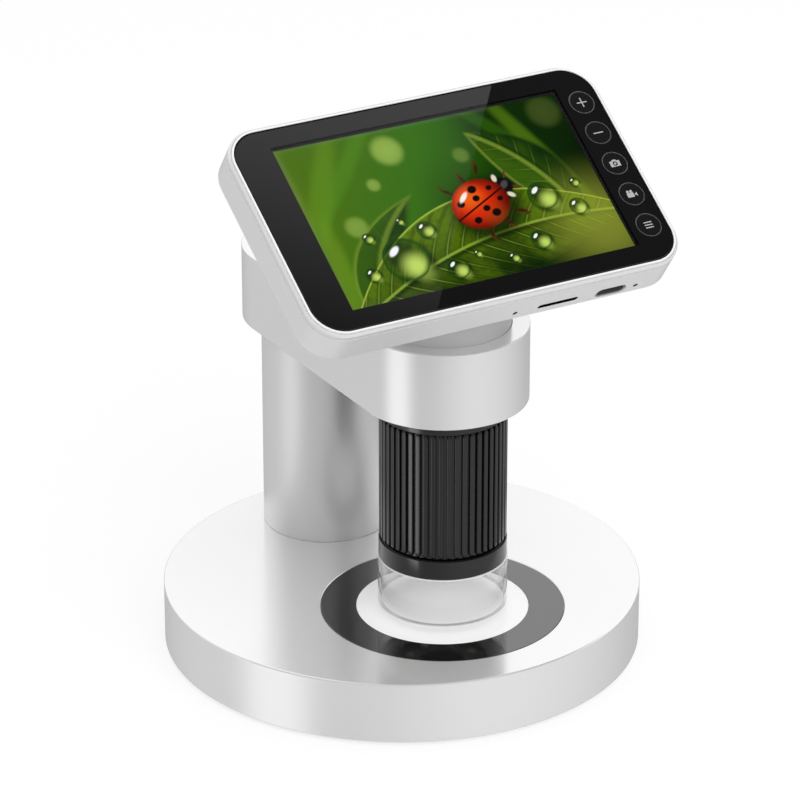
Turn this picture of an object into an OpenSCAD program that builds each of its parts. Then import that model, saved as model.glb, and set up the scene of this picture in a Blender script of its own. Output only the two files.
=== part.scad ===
// Digital microscope with a tilted colour screen, standing in the ring of a round-based stand.
// Millimetres.  X runs along the screen's long side, Y points away from the user and Z is up.
// The origin is on the table, at the centre of the round base.

/* [Base] */
// Radius of the round base
base_r = 67; // [62:1:80]
// Height of the base shell, from its lower rim to its top face
base_h = 17.7; // [16.5:0.1:24]
// Wall thickness of the base shell's skirt
base_wall = 2.5; // [2:0.1:4]
// Thickness of the base shell's top
base_skin = 2.6; // [2:0.1:3.5]
// Rounding of the base's upper edge
base_edge_r = 1.5; // [0.5:0.1:3]
// Height that the rubber feet stand out below the base
foot_h = 0.8; // [0.5:0.1:3]
// Radius of a rubber foot
foot_r = 6; // [4:0.5:9]
// Thickness of the cover that closes the base from below
cover_t = 2; // [1.8:0.1:3]
// Gap between the steel ballast plate and the base shell's skirt
weight_gap = 9.5; // [6.5:0.5:12.5]
// Thickness of the steel ballast plate
weight_t = 7; // [5:0.1:8]

/* [Stage] */
// Outer radius of the black stage ring
stage_r = 33.8; // [28:0.1:38]
// Radius of the white stage disc inside it
disc_r = 23.9; // [20:0.1:27]
// Thickness of the stage ring and the disc
stage_t = 1; // [0.6:0.1:1.2]

/* [Column] */
// Distance of the column's axis from the base's rim
column_inset = 23.8; // [22:0.1:26]
// Outer radius of the column
column_r = 18.1; // [15:0.1:19]
// Wall thickness of the column
column_wall = 2.5; // [1.5:0.1:4]
// Length of the plugs in the column's two ends
plug_h = 12; // [8:1:20]
// Radius of the spigots that centre the plugs
spigot_r = 7; // [5.5:0.1:9]
// Radius of the tie rod through the column
rod_r = 3; // [2:0.1:4]

/* [Arm] */
// Height of the arm's underside above the table
arm_z = 82.2; // [78:0.1:90]
// Height of the arm
arm_h = 22.1; // [18:0.1:26]
// Radius of the arm's round ends, which is half its width
arm_r = 23.4; // [23.2:0.1:23.6]
// Thickness of the arm's side wall
arm_wall = 2.4; // [2:0.1:2.6]
// Thickness of the arm's top
arm_skin = 2.4; // [1.5:0.1:4]
// Thickness of the plate that closes the arm from below
plate_t = 2.6; // [2:0.1:4]
// Thickness of the lip over the turning bush
lip_t = 1.2; // [0.8:0.1:2]
// Wall thickness of the turning bush
bush_wall = 1.9; // [1:0.1:2]

/* [Barrel] */
// Distance of the barrel's axis before the base's centre
barrel_y = 22.4; // [20:0.1:24]
// Radius of the neck between the arm and the screen
neck_r = 18.4; // [18.2:0.1:18.6]
// Radius of the barrel where the bush holds it
barrel_r = 18.05; // [17.8:0.01:18.1]
// Wall thickness of the barrel
barrel_wall = 1.7; // [1.2:0.1:2]
// Outer radius of the inner tube that the focus ring turns on
core_r = 14.6; // [14:0.1:15]
// Wall thickness of the inner tube
core_wall = 1.6; // [1:0.1:2]
// Radius over the ribs of the focus ring
focus_r = 17.6; // [17:0.1:17.8]
// Height of the focus ring's lower edge above the table
focus_z = 40.5; // [38:0.1:44]
// Number of ribs round the focus ring
rib_count = 50; // [30:1:60]
// Width of the groove between two ribs
groove_w = 0.8; // [0.5:0.05:1]
// Depth of the groove between two ribs
groove_d = 0.9; // [0.4:0.05:1.2]
// Height of the plain band above the ribs
band_h = 1.8; // [1:0.1:4]
// Height of the black end ring
end_ring_h = 5.5; // [4:0.1:6]
// Outer radius of the clear cap
cap_r = 17.95; // [17.6:0.05:18]
// Wall thickness of the clear cap
cap_wall = 0.8; // [0.6:0.05:1]
// Height of the clear cap
cap_h = 19.5; // [16:0.1:19.6]
// How far the focus ring moves the lenses to each side of the middle
lens_travel = 6; // [3:0.5:6]

/* [Screen] */
// Height of the centre of the glass above the table
screen_z = 142.3; // [138:0.1:150]
// Tilt of the screen from the horizontal, in degrees
tilt = 35; // [30:1:38]
// Width of the cover glass
glass_w = 110.8; // [110:0.1:114]
// Height of the cover glass
glass_h = 64.4; // [64:0.1:68]
// Corner radius of the cover glass
glass_corner = 8.7; // [7.5:0.1:9]
// Thickness of the cover glass
glass_t = 1; // [0.8:0.1:1.1]
// Width of the light rim round the glass
rim_w = 1.5; // [1.2:0.1:2]
// How far the rim stands above the glass
rim_raise = 0.2; // [0:0.05:0.5]
// Thickness of the casing behind the glass's front face
case_t = 11; // [11:0.1:14]
// Distance of the casing's parting line behind the glass's front face
split_n = 2; // [1.8:0.1:2.5]
// Thickness of the casing's side wall
case_wall = 1.6; // [1.2:0.1:1.8]
// Thickness of the casing's back
back_wall = 1; // [0.8:0.1:1.5]
// Width of the black border at each side of the picture
border_w = 12; // [11.9:0.1:15]
// Height of the black border above and below the picture
border_h = 6.4; // [6.2:0.1:10]

/* [Keys and ports] */
// Distance of the row of keys from the glass's right edge
key_inset = 5.7; // [5.6:0.05:5.8]
// Distance of the middle key below the screen's centre
key_drop = 0.3; // [0:0.1:0.5]
// Distance of the first and last key from the glass's upper and lower edge
key_end = 11.34; // [11.3:0.02:13]
// Radius of a key
key_r = 3.8; // [3.2:0.05:3.85]
// How far a key stands above the glass
key_raise = 0.15; // [0:0.05:0.3]
// How far a key travels when it is pressed
key_travel = 0.35; // [0.2:0.05:0.4]
// Distance of the reset pinhole from the casing's right side
reset_inset = 52.4; // [51.9:0.1:53.9]
// Distance of the memory card slot from the casing's right side
card_inset = 39.2; // [37.9:0.1:40.4]
// Distance of the USB-C socket from the casing's right side
usb_inset = 22.45; // [22.4:0.05:23.9]
// Distance of the microphone's pinhole from the casing's right side
mic_inset = 14.6; // [13.9:0.1:14.9]

/* [Hidden] */
$fn = 96;

eps = 0.01;            // sinks a joint between two shapes of one solid
over = 1;              // how far a cut runs past the face that it opens
cut = 60;              // thicker than what a cut takes away
running = 0.05;        // radial clearance of a fit that turns or slides
loose = 0.1;           // clearance of a piece that is set in place
clear_hole = 0.2;      // clearance round a rod or a screw that passes through

// Heights above the table
cover_top = foot_h + cover_t;
weight_top = cover_top + weight_t;
base_top = foot_h + base_h;
skin_z = base_top - base_skin;
weight_r = base_r - base_wall - weight_gap;
column_y = base_r - column_inset;
arm_top = arm_z + arm_h;
plate_top = arm_z + plate_t;
bush_top = arm_top - lip_t - running;
washer_t = 1.2;
nut_h = 1.6 * rod_r;
rod_head_h = rod_r + 1;
rod_end = 1.5;         // the tie rod's thread above its nut
end_wall_t = 1.9;      // wall at the barrel's lower end
core_seat = arm_z + end_wall_t;
flange_t = 2;          // flange at the top of the inner tube
core_top = core_seat + flange_t;
sensor_board_t = 1;
retaining_ring_t = 2;
focus_gap = 0.3;       // above and below the focus ring
ring_top = focus_z - focus_gap;
ring_z = ring_top - end_ring_h;
ring_floor = 1.5;      // bottom of the end ring, which the inner tube stands on
cap_z = ring_top - cap_h;
focus_top = arm_z - focus_gap;
neck_blank_top = screen_z + neck_r;   // the neck is cut off below this by the slope of the casing

// Radii about the barrel's axis
bush_in = barrel_r + running;
bush_out = bush_in + bush_wall;
collar_wall = 2.4;
collar_r = bush_out + collar_wall;
bore_r = barrel_r - barrel_wall;
core_in = core_r - core_wall;
cap_in = cap_r - cap_wall;
cap_lip = 0.6;         // inward lip at the cap's lower edge
cap_lip_t = 1;
ring_r = cap_in - running;
led_window_r = core_in - 0.6;
retaining_ring_in = 12;
column_in = column_r - column_wall;
plug_r = column_in - loose;
rod_head_r = 2 * rod_r;
washer_r = 3 * rod_r;
boss_wall = 3;         // round the seat of the column's spigot
boss_r = 5;            // shoulder of a base boss, on the ballast
boss_stem_r = 3.2;     // stem of a base boss, through the ballast
stem_gap = 0.3;

// Lamps: radius, height, count and the circle that they stand on
led_r = 1.3;
led_h = 1.1;
led_count = 8;
led_ring_r = 9.6;
led_board_in = 6.5;
led_board_t = 1;

// Lenses: the cell's walls, the glass and the pin that the focus ring drives
lens_r = 8;
lens_cell_h = 16;
lens_cell_z = focus_z + 5.5;
lens_web_z = lens_cell_z + 9.5;
lens_web_t = 1.5;
lens_stop = 1;         // inward lip that holds a lens
lens_stop_t = 0.8;
front_lens_t = 3.5;
rear_lens_t = 3;
pin_r = 1;
pin_seat = 3;          // depth of the pin in the lens cell
pin_z = lens_cell_z + lens_cell_h / 2;

// Sensor and its flat cable
sensor_half = 4;
sensor_t = 1.2;
cable_y = -2.4;
cable_t = 0.3;

// Screen: n is the height above the glass's front face, so it is negative inside the casing
case_w = glass_w + 2 * rim_w;
case_h = glass_h + 2 * rim_w;
case_corner = glass_corner + rim_w;
picture_w = glass_w - 2 * border_w;
picture_h = glass_h - 2 * border_h;
screen_y = -barrel_y - case_t * sin(tilt);
mask_t = 0.1;
mask_n = -glass_t - mask_t;        // back of the mask, where the display is bonded
ledge_w = 1.4;                     // ledge that carries the edge of the glass
inner_n = back_wall - case_t;      // inner face of the casing's back
inner_w = case_w - 2 * case_wall;
inner_h = case_h - 2 * case_wall;
post_x = glass_w / 2 - 4.8;
post_y = glass_h / 2 - 3.8;
post_n = -5;                       // where the posts of frame and casing meet
case_post_r = 3;
frame_post_r = 2;
post_cap_t = 1.2;                  // solid end of a frame post, under the glass
board_post_r = 2.2;
cable_hole_r = 8;                  // opening between the casing and the neck
neck_lid_t = 3;                    // top of the neck, under the casing
panel_t = 1.4;
backlight_t = 2.2;
tray_t = 0.3;
panel_left = picture_w / 2 + 3.6;  // the side with the driver chip is wider
panel_right = picture_w / 2 + 1.4;
panel_h = picture_h + 2.8;
panel_back = mask_n - panel_t;
light_back = panel_back - backlight_t;
tray_back = light_back - tray_t;

// Boards
board_t = 1.2;
board_front = tray_back - 0.6;
board_back = board_front - board_t;
board_gap = 1.1;                   // between the main board and the key board
board_low_gap = 0.7;               // between the board and the casing's lower wall
board_high_gap = 5.1;
board_low = -inner_h / 2 + board_low_gap;
board_high = inner_h / 2 - board_high_gap;
key_x = glass_w / 2 - key_inset;
key_pitch = (glass_h / 2 - key_end) / 2;
key_board_t = 1;
key_board_w = 8.4;
key_board_side = 4.1;              // from the keys' middle to the key board's left edge
key_board_end = 4.04;              // from an outer key's middle to the key board's end
key_board_left = key_x - key_board_side;
key_board_right = key_board_left + key_board_w;
key_board_half = 2 * key_pitch + key_board_end;
board_right = key_board_left - board_gap;
switch_half = 2.3;
switch_t = 1.3;
flange_r = key_r + 0.35;
key_flange_t = 0.7;
stem_r = 1.5;
stem_h = 1.4;
switch_n = mask_n - key_flange_t - stem_h - key_travel - running;   // top of the key switches
key_board_n = switch_n - switch_t;
key_spots = [for (i = [0:4]) [key_x, (2 - i) * key_pitch - key_drop]];

// Ports in the casing's lower wall
reset_x = case_w / 2 - reset_inset;
card_x = case_w / 2 - card_inset;
usb_x = case_w / 2 - usb_inset;
mic_x = case_w / 2 - mic_inset;
usb_w = 8.94;
usb_h = 3.16;
usb_n = board_back - usb_h / 2;
usb_depth = 7.3;
usb_sheet = 0.3;                   // the receptacle's sheet metal
usb_back_t = 1;
usb_tongue = [6.6, 0.7];
usb_set_back = 0.3;                // from the casing's lower face
usb_gap = 0.25;
card_w = 14.5;
card_depth = 15;
card_t = 2.1;
card_n = board_back - 1.2;
card_slot = [12.4, 1.4];
card_slot_corner = 0.6;
card_room = [11.2, 0.9];           // the space inside the socket, wide and high
card_room_depth = 13.2;
card_low = board_low - 0.6;        // the socket's mouth
pin_n = board_back - 1.5;
pinhole_r = 0.65;
plunger_r = 0.5;
plunger_top = 0.8;                 // depth of the plunger's outer end
plunger_reach = 3.4;               // depth of the plunger's inner end
mic_size = [2.8, 3, 2.5];
reset_switch_size = [3, 3, 3];
reset_switch_gap = 0.2;
reset_room = 0.5;                  // behind the plunger, for its travel

// Screws: shank radius, head radius, head height, length
base_screw = [1.5, 2.8, 1.2, 8];
arm_screw = [1.25, 2.5, 1.3, 9];
case_screw = [1, 2, 1.4, 6.5];
neck_screw = [1.2, 2.2, 1, 6];
board_screw = [0.9, 1.6, 0.5, 3.4];
thread_gap = 0.05;
pilot_rest = 2;        // a pilot hole runs past its screw by this much

// Where fasteners and feet sit
foot_inset = 4.5;      // between a foot and the base's skirt
foot_ring_r = base_r - base_wall - foot_r - foot_inset;
boss_inset = 22;
boss_ring_r = base_r - boss_inset;
boss_angles = [-135, -45, 20, 160];
foot_angles = [-90, 0, 90, 180];
arm_post_r = 3.2;
arm_post_side = 1.3;   // between a post and the arm's wall
arm_post_gap = 0.9;    // between a post and the collar round the bush
arm_post_inset = 19;   // from the column's axis to the posts before it
arm_post_x = arm_r - arm_wall - arm_post_r - arm_post_side;
arm_post_front = -barrel_y + collar_r + arm_post_r + arm_post_gap;
arm_post_back = column_y - arm_post_inset;
arm_posts = [for (y = [arm_post_front, arm_post_back], side = [-1, 1]) [side * arm_post_x, y]];
case_posts = [for (x = [-1, 1], y = [-1, 1]) [x * post_x, y * post_y]];
neck_screw_x = 11;
neck_screw_back = 6;
neck_screw_spots = [for (side = [-1, 1], y = [-neck_screw_x, neck_screw_back])
    [side * neck_screw_x, y]];

// The battery lies between the casing's left wall and the neck's screws, and the main board
// starts to the right of it
battery_side_gap = 3.3;
battery_end_gap = 11.1;
battery_screw_gap = 0.8;
battery_board_gap = 2;
battery_left = -inner_w / 2 + battery_side_gap;
battery_right = -neck_screw_x - neck_screw[1] - battery_screw_gap;
battery_h = inner_h - 2 * battery_end_gap;
battery_t = 3.4;
battery_corner = 1.5;
board_left = battery_right + battery_board_gap;
board_screw_spots = [[board_left + 4, board_high - 3.5], [board_right - 4, board_high - 3.5],
    [board_left + 4, board_low + 4], [board_right - 3, board_low + 9.4]];
key_screw_spots = [for (i = [0, 3]) [key_x, key_spots[i][1] - key_pitch / 2]];

// ---------- helpers ----------

// An upright cylinder between two heights
module post(r, z0, z1) {
    translate([0, 0, z0]) cylinder(r = r, h = z1 - z0);
}

// An upright tube between two heights
module tube(r_out, r_in, z0, z1) {
    difference() {
        post(r_out, z0, z1);
        post(r_in, z0 - eps, z1 + eps);
    }
}

module at_barrel() {
    translate([0, -barrel_y, 0]) children();
}

module at_column() {
    translate([0, column_y, 0]) children();
}

// The screen's own frame: origin at the centre of the glass's front, z along its normal
module on_screen() {
    translate([0, screen_y, screen_z]) rotate([tilt, 0, 0]) children();
}

module at_spots(spots) {
    for (spot = spots) translate([spot[0], spot[1], 0]) children();
}

module at_angles(ring_r, angles) {
    for (angle = angles) rotate([0, 0, angle]) translate([ring_r, 0, 0]) children();
}

// An outline with rounded corners, centred on the origin
module rounded(w, h, r) {
    square([w - 2 * r, h], center = true);
    square([w, h - 2 * r], center = true);
    at_spots([for (x = [-1, 1], y = [-1, 1]) [x * (w / 2 - r), y * (h / 2 - r)]]) circle(r);
}

// Extrudes an outline between two heights
module slab(z0, z1) {
    translate([0, 0, z0]) linear_extrude(z1 - z0) children();
}

// A box given by its lowest and highest corners
module block(low, high) {
    translate(low) cube(high - low);
}

// The arm's outline seen from above: two round ends and straight sides
module arm_outline(r) {
    translate([0, -barrel_y]) circle(r);
    translate([0, column_y]) circle(r);
    translate([-r, -barrel_y]) square([2 * r, barrel_y + column_y]);
}

// A screw that points up, with the underside of its head at z = 0
module screw(size) {
    post(size[0], -eps, size[3]);
    post(size[1], -size[2], 0);
}

// The same screw pointing down
module screw_down(size) {
    mirror([0, 0, 1]) screw(size);
}

// The space above a plane of the screen's frame
module above_screen_plane(n) {
    on_screen() translate([0, 0, n + cut / 2]) cube([2 * cut, 2 * cut, cut], center = true);
}

// Everything on the lower face of the casing points along the screen's -y
module port_at(x, n) {
    translate([x, -case_h / 2, n]) rotate([-90, 0, 0]) children();
}

// ---------- base ----------

module base_top_shell() {
    color("whitesmoke") difference() {
        union() {
            difference() {
                translate([0, 0, foot_h]) rotate_extrude() {
                    square([base_r, base_h - base_edge_r]);
                    square([base_r - base_edge_r, base_h]);
                    translate([base_r - base_edge_r, base_h - base_edge_r]) circle(base_edge_r);
                }
                post(base_r - base_wall, foot_h - over, skin_z);
            }
            // Shoulders press the ballast down, and stems below them reach the cover
            at_angles(boss_ring_r, boss_angles) {
                post(boss_r, weight_top, skin_z + eps);
                post(boss_stem_r, cover_top, skin_z);
            }
            at_column() post(spigot_r + boss_wall, weight_top, skin_z + eps);
        }
        at_angles(boss_ring_r, boss_angles)
            post(base_screw[0] + thread_gap, cover_top - over, skin_z);
        at_column() {
            post(rod_r + clear_hole, foot_h, base_top + over);
            post(spigot_r + loose, skin_z, base_top + over);
        }
        at_barrel() post(stage_r + loose, base_top - stage_t, base_top + over);
    }
}

module base_bottom_cover() {
    color("dimgray") difference() {
        post(base_r - base_wall - loose, foot_h, cover_top);
        at_angles(boss_ring_r, boss_angles) {
            post(base_screw[0] + clear_hole, foot_h - over, cover_top + over);
            post(base_screw[1] + clear_hole, foot_h - over, foot_h + base_screw[2] + loose);
        }
    }
}

module base_weight() {
    color("slategray") difference() {
        post(weight_r, cover_top, weight_top);
        at_angles(boss_ring_r, boss_angles)
            post(boss_stem_r + stem_gap, cover_top - over, weight_top + over);
        at_column() {
            post(rod_r + clear_hole, cover_top - over, weight_top + over);
            post(rod_head_r + 2 * clear_hole, cover_top - over, cover_top + rod_head_h);
        }
    }
}

module base_feet() {
    color("black") at_angles(foot_ring_r, foot_angles) post(foot_r, 0, foot_h);
}

module base_screws() {
    color("silver") at_angles(boss_ring_r, boss_angles)
        translate([0, 0, foot_h + base_screw[2] + loose]) screw(base_screw);
}

module stage_ring() {
    color("black") at_barrel() tube(stage_r, disc_r + running, base_top - stage_t, base_top);
}

module stage_disc() {
    color("white") at_barrel() post(disc_r, base_top - stage_t, base_top);
}

// ---------- column ----------

module column_tube() {
    color("silver") at_column() tube(column_r, column_in, base_top, arm_z);
}

module column_foot_plug() {
    color("gray") at_column() difference() {
        union() {
            post(plug_r, base_top, base_top + plug_h);
            post(spigot_r, skin_z, base_top + eps);
        }
        post(rod_r + clear_hole, skin_z - over, base_top + plug_h + over);
    }
}

module column_head_plug() {
    color("gray") at_column() difference() {
        union() {
            post(plug_r, arm_z - plug_h, arm_z);
            post(spigot_r, arm_z - eps, plate_top);
        }
        post(rod_r + clear_hole, arm_z - plug_h - over, plate_top + over);
    }
}

module column_tie_rod() {
    color("silver") at_column() {
        translate([0, 0, cover_top + loose])
            cylinder(r = rod_head_r, h = rod_head_h - loose, $fn = 6);
        post(rod_r, cover_top + rod_r, plate_top + washer_t + nut_h + rod_end);
    }
}

module column_washer() {
    color("silver") at_column()
        tube(washer_r, rod_r + clear_hole, plate_top, plate_top + washer_t);
}

module column_nut() {
    color("silver") at_column() difference() {
        translate([0, 0, plate_top + washer_t]) cylinder(r = rod_head_r, h = nut_h, $fn = 6);
        post(rod_r + thread_gap, plate_top, plate_top + cut);
    }
}

// ---------- arm ----------

module arm_shell() {
    color("gainsboro") difference() {
        slab(arm_z, arm_top) arm_outline(arm_r);
        slab(arm_z - over, plate_top) arm_outline(arm_r - arm_wall);
        difference() {
            slab(arm_z, arm_top - arm_skin) arm_outline(arm_r - arm_wall);
            at_barrel() post(collar_r, plate_top, arm_top);
            at_spots(arm_posts) post(arm_post_r, plate_top, arm_top);
        }
        at_barrel() {
            post(bush_out + running, arm_z, arm_top - lip_t);
            post(neck_r + loose, arm_z, arm_top + over);
        }
        at_spots(arm_posts)
            post(arm_screw[0] + thread_gap, arm_z, plate_top + arm_screw[3] + over);
    }
}

module arm_underside_plate() {
    color("gainsboro") difference() {
        slab(arm_z, plate_top) arm_outline(arm_r - arm_wall - loose);
        at_barrel() post(neck_r + loose, arm_z - over, plate_top + over);
        at_column() post(spigot_r + loose, arm_z - over, plate_top + over);
        at_spots(arm_posts) {
            post(arm_screw[0] + clear_hole, arm_z - over, plate_top + over);
            post(arm_screw[1] + clear_hole, arm_z - over, arm_z + arm_screw[2] + loose);
        }
    }
}

module arm_screws() {
    color("silver") at_spots(arm_posts)
        translate([0, 0, arm_z + arm_screw[2] + loose]) screw(arm_screw);
}

module swivel_bush() {
    color("dimgray") at_barrel() tube(bush_out, bush_in, plate_top, bush_top);
}

// ---------- barrel ----------

module neck_housing() {
    color("whitesmoke") difference() {
        at_barrel() {
            post(barrel_r, arm_z, bush_top);
            post(neck_r, bush_top, neck_blank_top);
        }
        above_screen_plane(-case_t);
        difference() {
            at_barrel() post(bore_r, core_seat, neck_blank_top);
            above_screen_plane(-case_t - neck_lid_t);
        }
        at_barrel() post(core_r + running, arm_z - over, core_seat + over);
        on_screen() {
            post(cable_hole_r, -case_t - neck_lid_t - over, -case_t + over);
            at_spots(neck_screw_spots) post(neck_screw[0] + thread_gap,
                -case_t - neck_screw[3] - pilot_rest, -case_t + over);
        }
    }
}

module barrel_core() {
    color("dimgray") at_barrel() difference() {
        union() {
            post(core_r, ring_z + ring_floor, core_seat + eps);
            post(bore_r - loose, core_seat, core_top);
        }
        post(core_in, ring_z, core_top + over);
        // Slot that keeps the lens cell from turning
        block([core_in - over, -pin_r - loose, pin_z - lens_travel - pin_r - loose],
            [core_r + over, pin_r + loose, pin_z + lens_travel + pin_r + loose]);
    }
}

module core_retaining_ring() {
    color("dimgray") at_barrel() tube(bore_r - running, retaining_ring_in,
        core_top + sensor_board_t, core_top + sensor_board_t + retaining_ring_t);
}

module sensor_board() {
    color("seagreen") at_barrel() post(bore_r - 0.5, core_top, core_top + sensor_board_t);
}

module image_sensor() {
    color("darkslategray") at_barrel() block([-sensor_half, -sensor_half, core_top - sensor_t],
        [sensor_half, sensor_half, core_top]);
}

module sensor_cable() {
    color("peru") difference() {
        at_barrel() block([-sensor_half, cable_y - cable_t / 2, core_top + sensor_board_t],
            [sensor_half, cable_y + cable_t / 2, neck_blank_top]);
        above_screen_plane(board_back);
    }
}

module end_ring() {
    color("black") at_barrel() difference() {
        post(ring_r, ring_z, ring_top);
        post(core_r + running, ring_z + ring_floor, ring_top + over);
        post(led_window_r, ring_z - over, ring_top);
    }
}

module led_board() {
    color("seagreen") at_barrel()
        tube(core_in - loose, led_board_in, ring_z + ring_floor, ring_z + ring_floor + led_board_t);
}

module leds() {
    color("lightyellow") at_barrel()
        at_angles(led_ring_r, [for (i = [0:led_count - 1]) i * 360 / led_count])
            post(led_r, ring_z + ring_floor - led_h, ring_z + ring_floor);
}

module focus_ring() {
    color("black") at_barrel() {
        slab(focus_z, focus_top - band_h) difference() {
            circle(focus_r);
            circle(core_r + running);
            at_angles(focus_r - groove_d, [for (i = [0:rib_count - 1]) i * 360 / rib_count])
                translate([0, -groove_w / 2]) square([2 * groove_d, groove_w]);
        }
        tube(focus_r, core_r + running, focus_top - band_h, focus_top);
    }
}

// ---------- lenses ----------

// A lens with one domed face up and a flat face down
module lens(z, thick) {
    intersection() {
        post(lens_r - running, z, z + thick);
        translate([0, 0, z + thick - 3 * lens_r]) sphere(3 * lens_r);
    }
}

module lens_cell() {
    color("black") at_barrel() difference() {
        post(core_in - running, lens_cell_z, lens_cell_z + lens_cell_h);
        post(lens_r - lens_stop, lens_cell_z - over, lens_cell_z + lens_cell_h + over);
        post(lens_r, lens_cell_z + lens_stop_t, lens_web_z - lens_web_t);
        post(lens_r, lens_web_z, lens_cell_z + lens_cell_h + over);
        translate([core_in - pin_seat, 0, pin_z]) rotate([0, 90, 0])
            cylinder(r = pin_r + thread_gap, h = pin_seat + over);
    }
}

module front_lens() {
    color("lightblue") at_barrel() lens(lens_cell_z + lens_stop_t, front_lens_t);
}

module rear_lens() {
    color("lightblue") at_barrel() lens(lens_web_z, rear_lens_t);
}

module lens_drive_pin() {
    color("silver") at_barrel() translate([core_in - pin_seat, 0, pin_z])
        rotate([0, 90, 0]) cylinder(r = pin_r, h = pin_seat + core_wall - loose);
}

module clear_cap() {
    color("aliceblue") at_barrel() difference() {
        post(cap_r, cap_z, ring_top);
        post(cap_in, cap_z + cap_lip_t, ring_top + over);
        post(cap_in - cap_lip, cap_z - over, ring_top);
    }
}

// ---------- screen casing ----------

module rear_casing() {
    color("whitesmoke") on_screen() difference() {
        union() {
            difference() {
                slab(-case_t, -split_n) rounded(case_w, case_h, case_corner);
                slab(inner_n, over) rounded(inner_w, inner_h, case_corner - case_wall);
            }
            at_spots(case_posts) post(case_post_r, inner_n - eps, post_n);
            at_spots(board_screw_spots) post(board_post_r, inner_n - eps, board_back);
            at_spots(key_screw_spots) post(board_post_r, inner_n - eps, key_board_n - key_board_t);
        }
        at_spots(case_posts) {
            post(case_screw[0] + clear_hole, -case_t - over, 0);
            post(case_screw[1] + loose, -case_t - over, -case_t + case_screw[2] + loose);
        }
        at_spots(neck_screw_spots) post(neck_screw[0] + clear_hole, -case_t - over, 0);
        at_spots(concat(board_screw_spots, key_screw_spots))
            post(board_screw[0] + thread_gap, inner_n, 0);
        post(cable_hole_r, -case_t - over, inner_n + over);
        port_at(usb_x, usb_n) slab(-over, case_wall + over)
            rounded(usb_w + 2 * usb_gap, usb_h + 2 * usb_gap, usb_h / 2 + usb_gap - eps);
        port_at(card_x, card_n) slab(-over, case_wall + over)
            rounded(card_slot[0], card_slot[1], card_slot_corner);
        port_at(reset_x, pin_n) slab(-over, case_wall + over) circle(pinhole_r);
        port_at(mic_x, pin_n) slab(-over, case_wall + over) circle(pinhole_r);
    }
}

module front_frame() {
    color("white") on_screen() difference() {
        union() {
            difference() {
                slab(-split_n, rim_raise) rounded(case_w, case_h, case_corner);
                slab(-split_n - over, over) rounded(glass_w - 2 * ledge_w,
                    glass_h - 2 * ledge_w, glass_corner - ledge_w);
            }
            at_spots(case_posts) post(frame_post_r, post_n, mask_n);
        }
        slab(mask_n, over) rounded(glass_w + 2 * loose, glass_h + 2 * loose, glass_corner + loose);
        at_spots(case_posts)
            post(case_screw[0] + thread_gap, post_n - over, mask_n - post_cap_t);
    }
}

module cover_glass() {
    color("black") on_screen() difference() {
        slab(-glass_t, 0) rounded(glass_w, glass_h, glass_corner);
        at_spots(key_spots) post(key_r + loose, -glass_t - over, over);
    }
}

module glass_mask() {
    color("black") on_screen() difference() {
        slab(mask_n, -glass_t) rounded(glass_w, glass_h, glass_corner);
        at_spots(key_spots) post(key_r + loose, mask_n - over, 0);
        slab(mask_n - over, 0) square([picture_w, picture_h], center = true);
    }
}

// An outline of the display, with a margin all round
module display_outline(margin) {
    translate([-panel_left - margin, -panel_h / 2 - margin])
        square([panel_left + panel_right + 2 * margin, panel_h + 2 * margin]);
}

module lcd_panel() {
    color("darkgreen") on_screen() slab(panel_back, mask_n) display_outline(0);
}

module backlight() {
    color("white") on_screen() slab(light_back, panel_back) display_outline(0);
}

module lcd_tray() {
    color("silver") on_screen() difference() {
        slab(tray_back, mask_n) display_outline(tray_t);
        slab(light_back, over) display_outline(0);
    }
}

module main_board() {
    color("seagreen") on_screen() difference() {
        block([board_left, board_low, board_back], [board_right, board_high, board_front]);
        at_spots(board_screw_spots) post(board_screw[0] + loose, board_back - over, 0);
    }
}

module battery() {
    color("silver") on_screen() slab(inner_n, inner_n + battery_t)
        translate([(battery_left + battery_right) / 2, 0])
            rounded(battery_right - battery_left, battery_h, battery_corner);
}

module usb_c_receptacle() {
    color("silver") on_screen() port_at(usb_x, usb_n) {
        difference() {
            slab(usb_set_back, usb_depth) rounded(usb_w, usb_h, usb_h / 2 - eps);
            slab(0, usb_depth - usb_back_t) rounded(usb_w - 2 * usb_sheet,
                usb_h - 2 * usb_sheet, usb_h / 2 - usb_sheet - eps);
        }
        slab(4 * usb_sheet, usb_depth - usb_back_t + eps) square(usb_tongue, center = true);
    }
}

module card_socket() {
    color("silver") on_screen() difference() {
        block([card_x - card_w / 2, card_low, board_back - card_t],
            [card_x + card_w / 2, card_low + card_depth, board_back]);
        block([card_x - card_room[0] / 2, card_low - over, card_n - card_room[1] / 2],
            [card_x + card_room[0] / 2, card_low + card_room_depth, card_n + card_room[1] / 2]);
    }
}

module microphone() {
    color("gold") on_screen()
        block([mic_x - mic_size[0] / 2, board_low, board_back - mic_size[2]],
            [mic_x + mic_size[0] / 2, board_low + mic_size[1], board_back]);
}

module reset_switch() {
    color("black") on_screen() difference() {
        translate([reset_x - reset_switch_size[0] / 2, board_low + reset_switch_gap,
            board_back - reset_switch_size[2]]) cube(reset_switch_size);
        port_at(reset_x, pin_n) post(plunger_r + running, 0, plunger_reach + reset_room);
    }
}

module reset_plunger() {
    color("gray") on_screen() port_at(reset_x, pin_n) post(plunger_r, plunger_top, plunger_reach);
}

module key_board() {
    color("seagreen") on_screen() difference() {
        block([key_board_left, -key_board_half, key_board_n - key_board_t],
            [key_board_right, key_board_half, key_board_n]);
        at_spots(key_screw_spots)
            post(board_screw[0] + loose, key_board_n - key_board_t - over, 0);
    }
}

module key_switches() {
    color("dimgray") on_screen() at_spots(key_spots)
        block([-switch_half, -switch_half, key_board_n], [switch_half, switch_half, switch_n]);
}

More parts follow.
